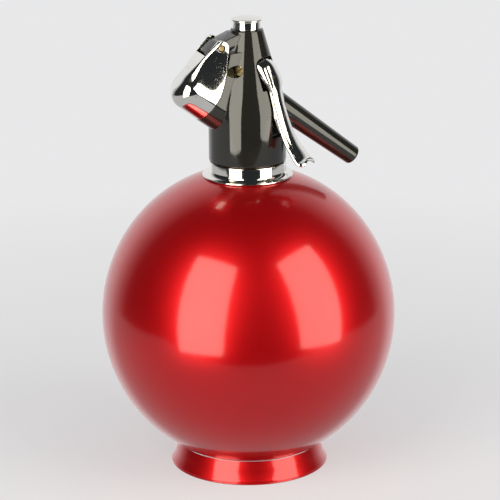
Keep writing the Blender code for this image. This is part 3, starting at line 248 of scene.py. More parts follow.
class Studio:
    """Pale floor, two tall soft boxes and the camera at the photograph's place."""

    scale = 16 / 15
    distance = 1.373064 * scale
    height = 0.531606 * scale
    aim_height = 0.112678 * scale
    roll = -0.0063
    focal_pixels = 2817.29
    picture_pixels = 500.0
    sensor = 36.0
    shift_pixels = 1.9006
    pale = (0.81, 0.81, 0.82, 1.0)
    dark = (0.020, 0.022, 0.024, 1.0)
    room = (0.30, 0.30, 0.33, 1.0)
    card = (0.72, 0.715, 0.75, 1.0)
    backdrop = (0.38, 0.74)  # Y of the directions over which the backdrop comes up
    table_front = 0.42  # how far the table's edge drops towards the front
    table_side = 0.17  # how far it drops towards each side
    table_blur = 0.03
    table_white = 0.56
    glow = (0.55, 1.0)  # share of backdrop colour in the floor, near and far
    glow_reach = (0.08, 0.55)
    floor_size = 9.0
    lamp_colour = (1.0, 0.95, 0.82)
    lamp_aim = 0.15
    boxes = (("box_left", -36.0, 1.05, (0.76, 1.46), 0.44, 4.8),
             ("box_right", 56.0, 1.05, (0.76, 1.40), 0.47, 4.2))

    def build(self) -> None:
        """Build everything round the object."""
        self.camera()
        self.world()
        self.floor()
        for box in self.boxes:
            self.soft_box(*box)
        bpy.context.scene.view_settings.view_transform = "Standard"

    def camera(self) -> None:
        """Place the camera as the photograph's was, from the fit to the globe and its foot."""
        place = Vector((0.0, -self.distance, self.height))
        forward = (Vector((0.0, 0.0, self.aim_height)) - place).normalized()
        right = Vector((1.0, 0.0, 0.0))
        up = right.cross(forward)
        cosine, sine = math.cos(self.roll), math.sin(self.roll)
        axes = (cosine * right + sine * up, cosine * up - sine * right, -forward)
        matrix = Matrix(axes).transposed().to_4x4()
        matrix.translation = place
        data = bpy.data.cameras.new("camera")
        data.lens = self.focal_pixels / self.picture_pixels * self.sensor
        data.sensor_width = self.sensor
        data.shift_x = self.shift_pixels / self.picture_pixels
        data.clip_start = 0.05
        data.clip_end = 30.0
        camera = added("camera", data)
        camera.matrix_world = matrix
        bpy.context.scene.camera = camera

    def world(self) -> None:
        """Pale surroundings behind the object, and a dim room in front of it."""
        world = bpy.data.worlds.new("studio")
        world.use_nodes = True
        bpy.context.scene.world = world
        tree = world.node_tree
        graph = Graph(tree)
        rays = graph.add("ShaderNodeLightPath").outputs
        place = graph.add("ShaderNodeTexCoord").outputs["Generated"]
        along = graph.add("ShaderNodeSeparateXYZ", {0: place}).outputs
        behind = graph.spread(along["Y"], 0.0, 1.0, *self.backdrop)
        sideways = graph.math("MULTIPLY", graph.math("ABSOLUTE", along["X"]), self.table_side)
        ahead = graph.math("MULTIPLY", along["Y"], -self.table_front)
        over_edge = graph.math("ADD", along["Z"], graph.math("MAXIMUM", ahead, sideways))
        below = graph.spread(over_edge, self.table_white, 0.0, -self.table_blur, 0.0)
        seen = graph.mix(graph.math("MAXIMUM", behind, below), self.dark, self.pale)
        mirrored = graph.math("MAXIMUM", rays["Is Glossy Ray"], rays["Is Transmission Ray"])
        plain = graph.mix(mirrored, self.room, seen)
        colour = graph.mix(rays["Is Camera Ray"], plain, self.pale)
        background = tree.nodes["Background"]
        tree.links.new(colour, background.inputs["Color"])
        background.inputs["Strength"].default_value = 1.0

    def floor(self) -> None:
        """Pale floor that keeps the object's shadow and fades into the background."""
        work = bmesh.new()
        bmesh.ops.create_grid(work, x_segments=1, y_segments=1, size=self.floor_size / 2)
        mesh = bpy.data.meshes.new("floor")
        work.to_mesh(mesh)
        work.free()
        mesh.transform(Matrix.Translation((0.0, 0.0, -GAP / 3)))
        floor = added("floor", mesh)
        floor.visible_glossy = False
        material = bpy.data.materials.new("floor_card")
        material.use_nodes = True
        tree = material.node_tree
        graph = Graph(tree)
        surface = tree.nodes["Principled BSDF"]
        surface.inputs["Base Color"].default_value = self.card
        surface.inputs["Roughness"].default_value = 0.9
        surface.inputs["Specular IOR Level"].default_value = 0.1
        glow = graph.add("ShaderNodeEmission", {"Color": self.pale, "Strength": 1.0})
        place = graph.add("ShaderNodeTexCoord").outputs["Object"]
        reach = graph.add("ShaderNodeVectorMath", {0: place}, operation="LENGTH")
        far = graph.spread(reach.outputs["Value"], *self.glow, *self.glow_reach)
        rays = graph.add("ShaderNodeLightPath").outputs
        share = graph.math("MULTIPLY", far, rays["Is Camera Ray"])
        blend = graph.add("ShaderNodeMixShader", {0: share, 1: surface.outputs[0],
                                                  2: glow.outputs[0]})
        tree.links.new(blend.outputs[0], tree.nodes["Material Output"].inputs["Surface"])
        mesh.materials.append(material)

    def soft_box(self, name: str, azimuth: float, distance: float, size: tuple[float, float],
                 middle: float, strength: float) -> None:
        """Add one tall soft box that faces the object.

        Args:
            name: The lamp's name.
            azimuth: Its direction from the camera's, in degrees to the right.
            distance: How far off it is.
            size: Its width and height.
            middle: Height of its middle.
            strength: Brightness of its face, where 1 is white.
        """
        lamp = bpy.data.lights.new(name, "AREA")
        lamp.shape = "RECTANGLE"
        lamp.size, lamp.size_y = size
        lamp.energy = strength * math.pi * size[0] * size[1]
        lamp.color = self.lamp_colour
        turn = math.radians(azimuth)
        place = Vector((math.sin(turn) * distance, -math.cos(turn) * distance, middle))
        holder = added(name, lamp)
        towards = Vector((0.0, 0.0, self.lamp_aim)) - place
        holder.matrix_world = (Matrix.Translation(place)
                               @ towards.to_track_quat("-Z", "Y").to_matrix().to_4x4())
        holder.visible_camera = False


def added(name: str, data: bpy.types.ID) -> Shape:
    """Put a new object of this data into the scene."""
    thing = bpy.data.objects.new(name, data)
    bpy.context.scene.collection.objects.link(thing)
    return thing


def arc(centre: tuple[float, float], radius: float, start: float, end: float,
        steps: int) -> Outline:
    """Points on a round stretch of an outline, between two angles in degrees."""
    turns = [math.radians(start + (end - start) * i / steps) for i in range(steps + 1)]
    return [(centre[0] + radius * math.cos(a), centre[1] + radius * math.sin(a)) for a in turns]


def bend(start: tuple, corner: tuple, end: tuple, steps: int) -> Outline:
    """Points on a smooth bend from start to end that leans into a corner."""
    shares = [i / steps for i in range(steps + 1)]
    return [tuple((1 - t) ** 2 * a + 2 * t * (1 - t) * b + t * t * c
                  for a, b, c in zip(start, corner, end)) for t in shares]


def smooth(points: list[tuple], steps: int) -> list[tuple]:
    """Smooth line through a row of points.

    Args:
        points: The points.
        steps: How many stretches lie between two of them.

    Returns:
        The line's points.
    """
    ends = [points[0], *points, points[-1]]
    line = []
    for a, b, c, d in zip(ends, ends[1:], ends[2:], ends[3:]):
        for i in range(steps):
            t = i / steps
            line.append(tuple(q + t * (r - p) / 2 + t * t * (2 * p - 5 * q + 4 * r - s) / 2
                              + t ** 3 * (3 * q - p - 3 * r + s) / 2
                              for p, q, r, s in zip(a, b, c, d)))
    return [*line, points[-1]]


def read(line: Outline, at: float) -> float:
    """Value at a place on a broken line.

    Args:
        line: Its points, as place and value, with places that rise.
        at: The place.

    Returns:
        The value there.
    """
    for (a, low), (b, high) in zip(line, line[1:]):
        if at <= b:
            return low + (high - low) * max(at - a, 0.0) / (b - a)
    return line[-1][1]


def from_work(name: str, work: bmesh.types.BMesh, place: Matrix) -> Shape:
    """Make an object of a bmesh, with its place in its mesh.

    Args:
        name: The object's name.
        work: The bmesh, which is freed.
        place: Where it goes.

    Returns:
        The object, at the origin.
    """
    bmesh.ops.remove_doubles(work, verts=work.verts, dist=MERGE)
    bmesh.ops.recalc_face_normals(work, faces=work.faces)
    mesh = bpy.data.meshes.new(name)
    work.to_mesh(mesh)
    work.free()
    mesh.transform(place)
    return added(name, mesh)


def lathe(name: str, profile: Outline, place: Matrix = Matrix.Identity(4),
          steps: int = 128) -> Shape:
    """Turn a profile about the place's Z axis. Its last point joins its first.

    Args:
        name: The object's name.
        profile: Its points, as radius and height.
        place: Where its axis is.
        steps: How many faces go round.

    Returns:
        The turned object.
    """
    work = bmesh.new()
    rows = []
    for i in range(steps):
        turn = 2 * math.pi * i / steps
        rows.append([work.verts.new((r * math.cos(turn), r * math.sin(turn), z))
                     for r, z in profile])
    count = len(profile)
    for i in range(steps):
        here, there = rows[i], rows[(i + 1) % steps]
        for j in range(count):
            k = (j + 1) % count
            if profile[j][0] > 0.0 or profile[k][0] > 0.0:
                work.faces.new((here[j], there[j], there[k], here[k]))
    bmesh.ops.dissolve_degenerate(work, dist=MERGE, edges=work.edges)
    return from_work(name, work, place)


def plate(name: str, outline: Outline, low: float, high: float, place: Matrix) -> Shape:
    """Give a flat outline thickness along the place's Z axis.

    Args:
        name: The object's name.
        outline: Its points in the place's X-Y plane.
        low: Where the plate starts.
        high: Where it ends.
        place: Its frame.

    Returns:
        The plate.
    """
    work = bmesh.new()
    face = work.faces.new([work.verts.new((x, y, low)) for x, y in outline])
    grown = bmesh.ops.extrude_face_region(work, geom=[face])["geom"]
    moved = [v for v in grown if isinstance(v, bmesh.types.BMVert)]
    bmesh.ops.translate(work, verts=moved, vec=(0.0, 0.0, high - low))
    return from_work(name, work, place)


def rod(name: str, radius: float, low: float, high: float, place: Matrix = Matrix.Identity(4),
        steps: int = 64) -> Shape:
    """Round solid from low to high along the place's Z axis."""
    return lathe(name, [(0.0, high), (radius, high), (radius, low), (0.0, low)], place, steps)


def slab(name: str, along: tuple[float, float], across: tuple[float, float],
         thick: tuple[float, float], place: Matrix) -> Shape:
    """Block between two limits along each of the place's X, Y and Z axes."""
    corners = [(along[0], across[0]), (along[1], across[0]), (along[1], across[1]),
               (along[0], across[1])]
    return plate(name, corners, *thick, place)


def baked(shape: Shape) -> Shape:
    """Turn an object's modifiers into its mesh.

    Args:
        shape: The object.

    Returns:
        The same object, with a plain mesh.
    """
    bpy.context.view_layer.update()
    graph = bpy.context.evaluated_depsgraph_get()
    shape.data = bpy.data.meshes.new_from_object(shape.evaluated_get(graph))
    shape.modifiers.clear()
    return shape


def combine(shape: Shape, operation: str, *others: Shape) -> Shape:
    """Boolean steps on a shape, one for each of the others, which are then removed.

    Args:
        shape: The shape that changes.
        operation: DIFFERENCE, UNION or INTERSECT.
        others: The other shapes.

    Returns:
        The changed shape.
    """
    for other in others:
        step = shape.modifiers.new(other.name, "BOOLEAN")
        step.operation = operation
        step.solver = "EXACT"
        step.object = other
    baked(shape)
    for other in others:
        bpy.data.objects.remove(other, do_unlink=True)
    return shape


def rounded(shape: Shape, width: float, segments: int) -> Shape:
    """Round an object's sharp edges.

    Args:
        shape: The object.
        width: Width of the rounding.
        segments: How many faces it has.

    Returns:
        The same object.
    """
    step = shape.modifiers.new("Round", "BEVEL")
    step.limit_method = "ANGLE"
    step.angle_limit = math.radians(ROUND_FROM)
    step.width = width
    step.segments = segments
    step.use_clamp_overlap = True
    return baked(shape)


class Workshop:
    """Makes the finishes once and hands finished pieces to the frame."""

    def __init__(self) -> None:
        """Make every finish."""
        self.materials = {slot: finish.make() for slot, finish in FINISHES.items()}

    def dress(self, piece: Shape, slot: Slot, body: str, *nodes: str, crease: float = 32.0) -> None:
        """Finish one piece and put it on its body.

        Args:
            piece: The piece.
            slot: Its finish.
            body: The body that it rides on.
            nodes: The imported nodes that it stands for.
            crease: Angle in degrees past which an edge stays sharp.
        """
        piece.data.materials.clear()
        piece.data.materials.append(self.materials[slot])
        piece.data.shade_smooth()
        piece.data.set_sharp_from_angle(angle=math.radians(crease))
        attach(piece, body)
        if nodes:
            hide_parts(*nodes)
        LOG.info("%s rides on %s with %d faces", piece.name, body, len(piece.data.polygons))

    def dress_nodes(self) -> None:
        """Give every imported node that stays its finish."""
        for row in frame["record"]["subparts"]:
            node = frame["nodes"][row["node"]]
            node.data.materials.clear()
            node.data.materials.append(self.materials[Slot(row["material_slot"])])


class Growth:
    """One Geometry Nodes tree with numbers as its inputs, and what it grows."""

    def __init__(self, name: str, values: dict[str, float]) -> None:
        """Start the tree.

        Args:
            name: The tree's name.
            values: Its inputs by name.
        """
        self.tree = bpy.data.node_groups.new(name, "GeometryNodeTree")
        self.graph = Graph(self.tree)
        self.values = values
        sockets = self.tree.interface
        sockets.new_socket("Shape", in_out="OUTPUT", socket_type="NodeSocketGeometry")
        for value in values:
            sockets.new_socket(value, in_out="INPUT", socket_type="NodeSocketFloat")
        self.given = self.graph.add("NodeGroupInput").outputs

    def run(self, name: str, shape: Socket) -> Shape:
        """End the tree as plain geometry with a material, and bake what it makes.

        Args:
            name: Name of the new object.
            shape: The geometry that the tree ends with.

        Returns:
            The object with a plain mesh.
        """
        real = self.graph.add("GeometryNodeRealizeInstances", {"Geometry": shape})
        painted = self.graph.add("GeometryNodeSetMaterial", {"Geometry": real.outputs[0]})
        self.graph.add("NodeGroupOutput", {0: painted.outputs[0]})
        grown = added(name, bpy.data.meshes.new(name))
        step = grown.modifiers.new("Grow", "NODES")
        step.node_group = self.tree
        for socket in self.tree.interface.items_tree:
            if socket.in_out == "INPUT":
                step[socket.identifier] = self.values[socket.name]
        return baked(grown)


@dataclass
class Vessel:
    """Globe, foot ring, collar and the thread on the neck."""

    radius: float = 0.0800
    half_height: float = 0.0821
    centre: float = 0.0844
    wall: float = 0.0014
    opening: float = 0.0153
    segments: int = 192
    rings: int = 128
    foot_radius: float = 0.0430
    foot_inner: float = 0.0396
    foot_waist: float = 0.0403
    foot_waist_height: float = 0.0080
    foot_top: float = 0.0386
    foot_seat: float = 0.0356
    foot_lip: float = 0.0011
    foot_lean: float = 1.02
    collar_radius: float = 0.0208
    collar_bore: float = 0.0190
    collar_flange: float = 0.0245
    collar_top: float = 0.1712
    collar_edge: float = 0.0011
    collar_step: float = 0.0026
    collar_roll: float = 0.0005
    neck_radius: float = 0.0150
    thread_height: float = 0.0002
    thread_pitch: float = 0.0015
    thread_turns: float = 3.0

    def skin(self, radius: float, side: int) -> float:
        """Height a gap off the globe's skin, with side 1 above its middle and -1 below."""
        share = radius / (self.radius + GAP)
        return self.centre + side * (self.half_height + GAP) * math.sqrt(1 - share * share)

    def build(self, shop: Workshop) -> None:
        """Build and dress the vessel.

        Args:
            shop: Where finishes come from.
        """
        shop.dress(self.globe(), Slot.RED, "vessel", "globe")
        shop.dress(self.foot(), Slot.RED, "vessel", "foot_ring")
        shop.dress(self.collar(), Slot.CHROME, "vessel", "neck_collar")
        shop.dress(self.thread(), Slot.BRASS, "vessel")

    def globe(self) -> Shape:
        """Grow the globe from its rule with Geometry Nodes.

        Returns:
            The globe, as a plain mesh with a wall.
        """
        growth = Growth("spheroid_shell", {"Radius": self.radius, "Half Height": self.half_height,
                                           "Centre": self.centre, "Opening": self.opening})
        graph, given = growth.graph, growth.given
        ball = graph.add("GeometryNodeMeshUVSphere", {"Segments": self.segments,
                                                      "Rings": self.rings, "Radius": 1.0})
        size = graph.triple({0: given["Radius"], 1: given["Radius"], 2: given["Half Height"]})
        lift = graph.triple({2: given["Centre"]})
        grown = graph.add("GeometryNodeTransform", {"Geometry": ball.outputs["Mesh"],
                                                    "Scale": size, "Translation": lift})
        place = graph.add("GeometryNodeInputPosition").outputs[0]
        parts = graph.add("ShaderNodeSeparateXYZ", {0: place}).outputs
        flat = graph.triple({0: parts["X"], 1: parts["Y"]})
        reach = graph.add("ShaderNodeVectorMath", {0: flat}, operation="LENGTH")
        inside = graph.math("LESS_THAN", reach.outputs["Value"], given["Opening"])
        above = graph.math("GREATER_THAN", parts["Z"], given["Centre"])
        opened = graph.add("GeometryNodeDeleteGeometry",
                           {"Geometry": grown.outputs[0],
                            "Selection": graph.math("MULTIPLY", inside, above)}, domain="POINT")
        globe = growth.run("globe_shell", opened.outputs[0])
        wall = globe.modifiers.new("Wall", "SOLIDIFY")
        wall.thickness = self.wall
        wall.offset = -1.0
        return baked(globe)

    def seat(self, start: float, end: float, side: int, steps: int) -> Outline:
        """Line a gap off the globe's skin, from one radius to another."""
        radii = [start + (end - start) * i / steps for i in range(steps + 1)]
        return [(radius, self.skin(radius, side)) for radius in radii]

    def foot(self) -> Shape:
        """Turn the flared foot ring, with its thin rolled lip.

        Returns:
            The foot ring.
        """
        flare = bend((self.foot_waist, self.foot_waist_height),
                     (self.foot_waist * self.foot_lean, self.foot_lip * 4),
                     (self.foot_radius, self.foot_lip), 14)
        roll = self.foot_lip / 2
        lip = arc((self.foot_radius - roll, roll), roll, 60.0, -90.0, 8)
        inner = [(self.foot_inner, 0.0), (self.foot_inner, self.foot_lip),
                 (self.foot_seat, self.foot_waist_height)]
        seat = self.seat(self.foot_seat, self.foot_top, -1, 6)
        return lathe("foot_flare", [*flare[:-1], *lip, *inner, *seat], steps=160)

    def collar(self) -> Shape:
        """Turn the collar, a plain band on a flange with a rolled rim.

        Returns:
            The collar.
        """
        flange_top = self.skin(self.collar_flange, 1) + self.collar_edge
        band_low = flange_top + self.collar_step
        roll = self.collar_roll
        top = arc((self.collar_radius - roll, self.collar_top - roll), roll, 90.0, 0.0, 6)
        flare = bend((self.collar_radius, band_low), (self.collar_radius, flange_top + roll),
                     (self.collar_flange - 2 * roll, flange_top), 12)
        rim = arc((self.collar_flange - roll, flange_top - roll), roll, 80.0, -70.0, 8)
        seat = self.seat(self.collar_flange - roll, self.collar_bore, 1, 5)
        return lathe("collar_band", [*top, *flare, *rim, *seat,
                                     (self.collar_bore, self.collar_top)], steps=160)

    def thread(self) -> Shape:
        """Wind the neck's thread along a helix with Geometry Nodes.

        Returns:
            The thread, as a plain mesh.
        """
        height = self.thread_pitch * self.thread_turns
        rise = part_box("neck_ferrule")[1].z - height - 2 * self.thread_height
        growth = Growth("wound_thread", {"Radius": self.neck_radius, "Height": height,
                                         "Turns": self.thread_turns, "Rise": rise,
                                         "Ridge": self.thread_height})
        graph, given = growth.graph, growth.given
        helix = graph.add("GeometryNodeCurveSpiral",
                          {"Resolution": 72, "Rotations": given["Turns"],
                           "Start Radius": given["Radius"], "End Radius": given["Radius"],
                           "Height": given["Height"]})
        lift = graph.triple({2: given["Rise"]})
        placed = graph.add("GeometryNodeTransform", {"Geometry": helix.outputs[0],
                                                     "Translation": lift})
        ridge = graph.add("GeometryNodeCurvePrimitiveCircle", {"Resolution": 6,
                                                               "Radius": given["Ridge"]})
        wound = graph.add("GeometryNodeCurveToMesh", {"Curve": placed.outputs[0],
                                                      "Profile Curve": ridge.outputs[0],
                                                      "Fill Caps": True})
        return growth.run("neck_thread", wound.outputs[0])


@dataclass
class HeadFrames:
    """Frames of the pod, the spout and the lever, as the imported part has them."""

    azimuth: float = math.radians(20.2)
    pod_tilt: float = math.radians(36.6)
    pod_cross: float = 0.1899
    spout_fall: float = math.radians(37.4)
    spout_cross: float = 0.2141
    lever_azimuth: float = math.radians(-35.0)

    def axes(self, origin: Vector, x_axis: Vector, y_axis: Vector) -> Matrix:
        """Frame at a point with the given X and Y directions."""
        turn = Matrix((x_axis, y_axis, x_axis.cross(y_axis))).transposed().to_4x4()
        return Matrix.Translation(origin) @ turn

    def along(self, height: float, direction: Vector) -> Matrix:
        """Frame on the tower's axis, with Z along a direction of the head's X-Z plane."""
        side = Vector((0.0, 1.0, 0.0))
        return self.head() @ self.axes(Vector((0.0, 0.0, height)), side.cross(direction), side)

    def head(self) -> Matrix:
        """Turn from the world to the plane of the pod and the spout."""
        return Matrix.Rotation(self.azimuth, 4, "Z")

    def lever(self) -> Matrix:
        """Turn from the world to the lever's plane."""
        return Matrix.Rotation(self.lever_azimuth, 4, "Z")

    def pod_axis(self) -> Vector:
        """Direction out along the pod, in the head's own frame."""
        return Vector((-math.cos(self.pod_tilt), 0.0, math.sin(self.pod_tilt)))

    def pod_side(self) -> Matrix:
        """Frame with X out along the pod, Y up across it and Z to its far side."""
        up = Vector((math.sin(self.pod_tilt), 0.0, math.cos(self.pod_tilt)))
        centre = Vector((0.0, 0.0, self.pod_cross))
        return self.head() @ self.axes(centre, self.pod_axis(), up)

    def pod_axial(self) -> Matrix:
        """Frame whose Z axis runs out along the pod."""
        return self.along(self.pod_cross, self.pod_axis())

    def spout_axial(self) -> Matrix:
        """Frame whose Z axis runs down along the spout."""
        fall = Vector((math.cos(self.spout_fall), 0.0, -math.sin(self.spout_fall)))
        return self.along(self.spout_cross, fall)

    def lever_side(self) -> Matrix:
        """Frame with X out in the lever's plane, Y up and Z to its near side."""
        out, up = Vector((1.0, 0.0, 0.0)), Vector((0.0, 0.0, 1.0))
        return self.lever() @ self.axes(Vector(), out, up)

    def lever_front(self) -> Matrix:
        """Frame with X across the lever, Y up and Z out in its plane."""
        across, up = Vector((0.0, 1.0, 0.0)), Vector((0.0, 0.0, 1.0))
        return self.lever() @ self.axes(Vector(), across, up)

    def in_pod(self, out: float, height: float) -> tuple[float, float]:
        """Pod coordinates of a point given by its distance from the axis and its height.

        Args:
            out: Distance from the tower's axis.
            height: Height above the foot.

        Returns:
            How far out along the pod it is, and how far up across it.
        """
        rise = height - self.pod_cross
        cosine, sine = math.cos(self.pod_tilt), math.sin(self.pod_tilt)
        return out * cosine + rise * sine, rise * cosine - out * sine


FRAMES = HeadFrames()


@dataclass
class Lid:
    """Chrome lid of the charge pod, drawn in the pod's own directions."""

    back: float = 0.0275
    reach: float = 0.0205
    half_width: float = 0.01225
    hinge_half: float = 0.0102
    wall: float = 0.0015
    ear_wall: float = 0.0029
    nose_round: float = 0.0080
    edge_round: float = 0.0021
    draw_in: float = 0.0027
    top_edge: float = 0.0181
    hinge_out: float = 0.0414
    hinge_up: float = 0.0262
    ear_radius: float = 0.0039
    pin_radius: float = 0.0017
    fade_end: float = 0.62
    side_steps: int = 8
    edge_steps: int = 14
    side_rows: int = 34
    nose_rows: int = 48
    cut: float = 0.003

    def hinge(self) -> Matrix:
        """Frame with Z along the hinge's axis."""
        return FRAMES.pod_side() @ Matrix.Translation((self.hinge_out, self.hinge_up, 0.0))

    def taper(self) -> float:
        """Angle at which each side leans in towards the hinge."""
        return (math.atan2(self.hinge_up, self.hinge_half)
                - math.acos(self.half_width / math.hypot(self.hinge_up, self.hinge_half)))

    def rear(self, shift: float) -> Outline:
        """Rear edge of the lid from its lowest point up, moved back by a shift."""
        back_shares = ((0.0, -0.60), (0.0, 0.168), (0.068, 0.370), (0.21, 0.653))
        return [(self.back + out * self.reach - shift, up * self.hinge_up)
                for out, up in back_shares]

    def front_at(self, up: float) -> float:
        """How far out the lid's front is, at a height across the pod's axis."""
        front_shares = ((0.0, 1.0), (0.12, 0.992), (0.30, 0.958), (0.52, 0.925), (0.76, 0.89),
                        (0.95, 0.86), (1.3, 0.80))
        return self.back + read(smooth(list(front_shares), 4), up / self.hinge_up) * self.reach

    def swell(self, up: float) -> float:
        """Share of the sides' roundness at a height, greatest halfway up to the hinge."""
        share = min(max(up / self.hinge_up, 0.0), 1.0)
        return 4 * share * (1 - share)

    def side_line(self, low: float, wide: float, edge: float, front: float,
                  draw_in: float) -> Outline:
        """Line from the rear along one side and round the front edge.

        Args:
            low: Where it starts, out along the pod.
            wide: Half-width there.
            edge: Radius of the front edge.
            front: Where the front is.
            draw_in: How much narrower the side becomes towards the front.

        Returns:
            The line, as place along the pod and half-width.
        """
        reach = front - edge - self.back
        turn = math.atan2(2 * draw_in, reach)
        last = reach + edge * math.sin(turn)
        line = [(low, wide)]
        for i in range(self.side_steps + 1):
            share = i / self.side_steps
            line.append((self.back + last * share, wide - draw_in * share * share))
        out, across = line.pop()
        centre = (out - edge * math.sin(turn), across - edge * math.cos(turn))
        start = 90.0 - math.degrees(turn)
        return [*line, *arc(centre, edge, start, 0.0, self.edge_steps), (centre[0] + edge, 0.0)]

    def skin(self, name: str, inset: float) -> Shape:
        """Lid as a solid without its rear and ears, or with an inset the space inside it.

        Each row of points runs from the rear over the rounded front edge to the front's middle.

        Args:
            name: The object's name.
            inset: Distance inside the outer skin.

        Returns:
            The solid.
        """
        radius = self.half_width - inset
        low = self.back - self.reach
        top = self.hinge_up + 3 * self.ear_radius
        lean = self.taper()
        turn_in = radius * math.sin(lean)
        thin = self.edge_round / 4
        rows, sides = [], []
        levels = [top + (turn_in - top) * i / self.side_rows for i in range(self.side_rows + 1)]
        for up in [*levels, turn_in / 2]:
            fade = min(up / (self.hinge_up * self.fade_end), 1.0)
            fade = fade * fade * (3.0 - 2.0 * fade)
            edge = max(self.nose_round + (self.edge_round - self.nose_round) * fade - inset, thin)
            if up < turn_in:
                wide = math.sqrt(radius ** 2 - up ** 2)
            else:
                wide = (radius - up * math.sin(lean)) / math.cos(lean)
            sides.append((up, self.side_line(low, wide, edge, self.front_at(up) - inset,
                                             self.draw_in * self.swell(up))))
        for up, line in sides:
            rows.append([(out, up, wide) for out, wide in line])
        edge = max(self.nose_round - inset, thin)
        nose = self.side_line(low, radius, edge, self.back + self.reach - inset, 0.0)
        for i in range(self.nose_rows + 1):
            angle = math.pi * i / self.nose_rows
            rows.append([(out, -wide * math.sin(angle), wide * math.cos(angle))
                         for out, wide in nose])
        for up, line in reversed(sides):
            rows.append([(out, up, -wide) for out, wide in line])
        work = bmesh.new()
        grid = [[work.verts.new(point) for point in row] for row in rows]
        for first, second in zip(grid, grid[1:]):
            for i in range(len(first) - 1):
                work.faces.new((first[i], first[i + 1], second[i + 1], second[i]))
        work.faces.new([*grid[0], *reversed(grid[-1][:-1])])
        work.faces.new([row[0] for row in reversed(grid)])
        bmesh.ops.remove_doubles(work, verts=work.verts, dist=MERGE)
        bmesh.ops.dissolve_degenerate(work, dist=MERGE, edges=work.edges)
        return from_work(name, work, FRAMES.pod_side())

    def build(self, shop: Workshop) -> None:
        """Build and dress the lid and its hinge pin.

        Args:
            shop: Where finishes come from.
        """
        place = FRAMES.pod_side()
        wide = self.half_width + self.cut
        far_front = self.back + self.reach + self.cut
        ears = arc((self.hinge_out, self.hinge_up), self.ear_radius, 165.0, 0.0, 24)
        outline = [*self.rear(0.0), *ears, (far_front, self.hinge_up - self.ear_radius),
                   (far_front, -0.6 * self.hinge_up)]
        lid = self.skin("charge_lid_shell", 0.0)
        combine(lid, "INTERSECT", plate("lid_side", outline, -wide, wide, place))
        gap_half = self.hinge_half - self.ear_wall
        high = self.hinge_up + 3 * self.ear_radius
        gap = slab("lid_gap", (self.back - 2 * self.cut, far_front), (self.top_edge, high),
                   (-gap_half, gap_half), place)
        hole = rod("lid_hole", self.pin_radius + GAP, -wide, wide, self.hinge(), 32)
        combine(lid, "DIFFERENCE", self.skin("lid_space", self.wall), gap, hole)
        shop.dress(lid, Slot.CHROME, "lid", "charge_lid", crease=26.0)
        end = self.hinge_half - GAP
        dome = self.pin_radius / 4
        pin = lathe("lid_hinge_pin", [(0.0, end), (self.pin_radius - dome, end),
                                      (self.pin_radius, end - dome),
                                      (self.pin_radius, dome - end),
                                      (self.pin_radius - dome, -end), (0.0, -end)],
                    self.hinge(), 32)
        shop.dress(pin, Slot.BRASS, "head", "lid_pin")


LID = Lid()


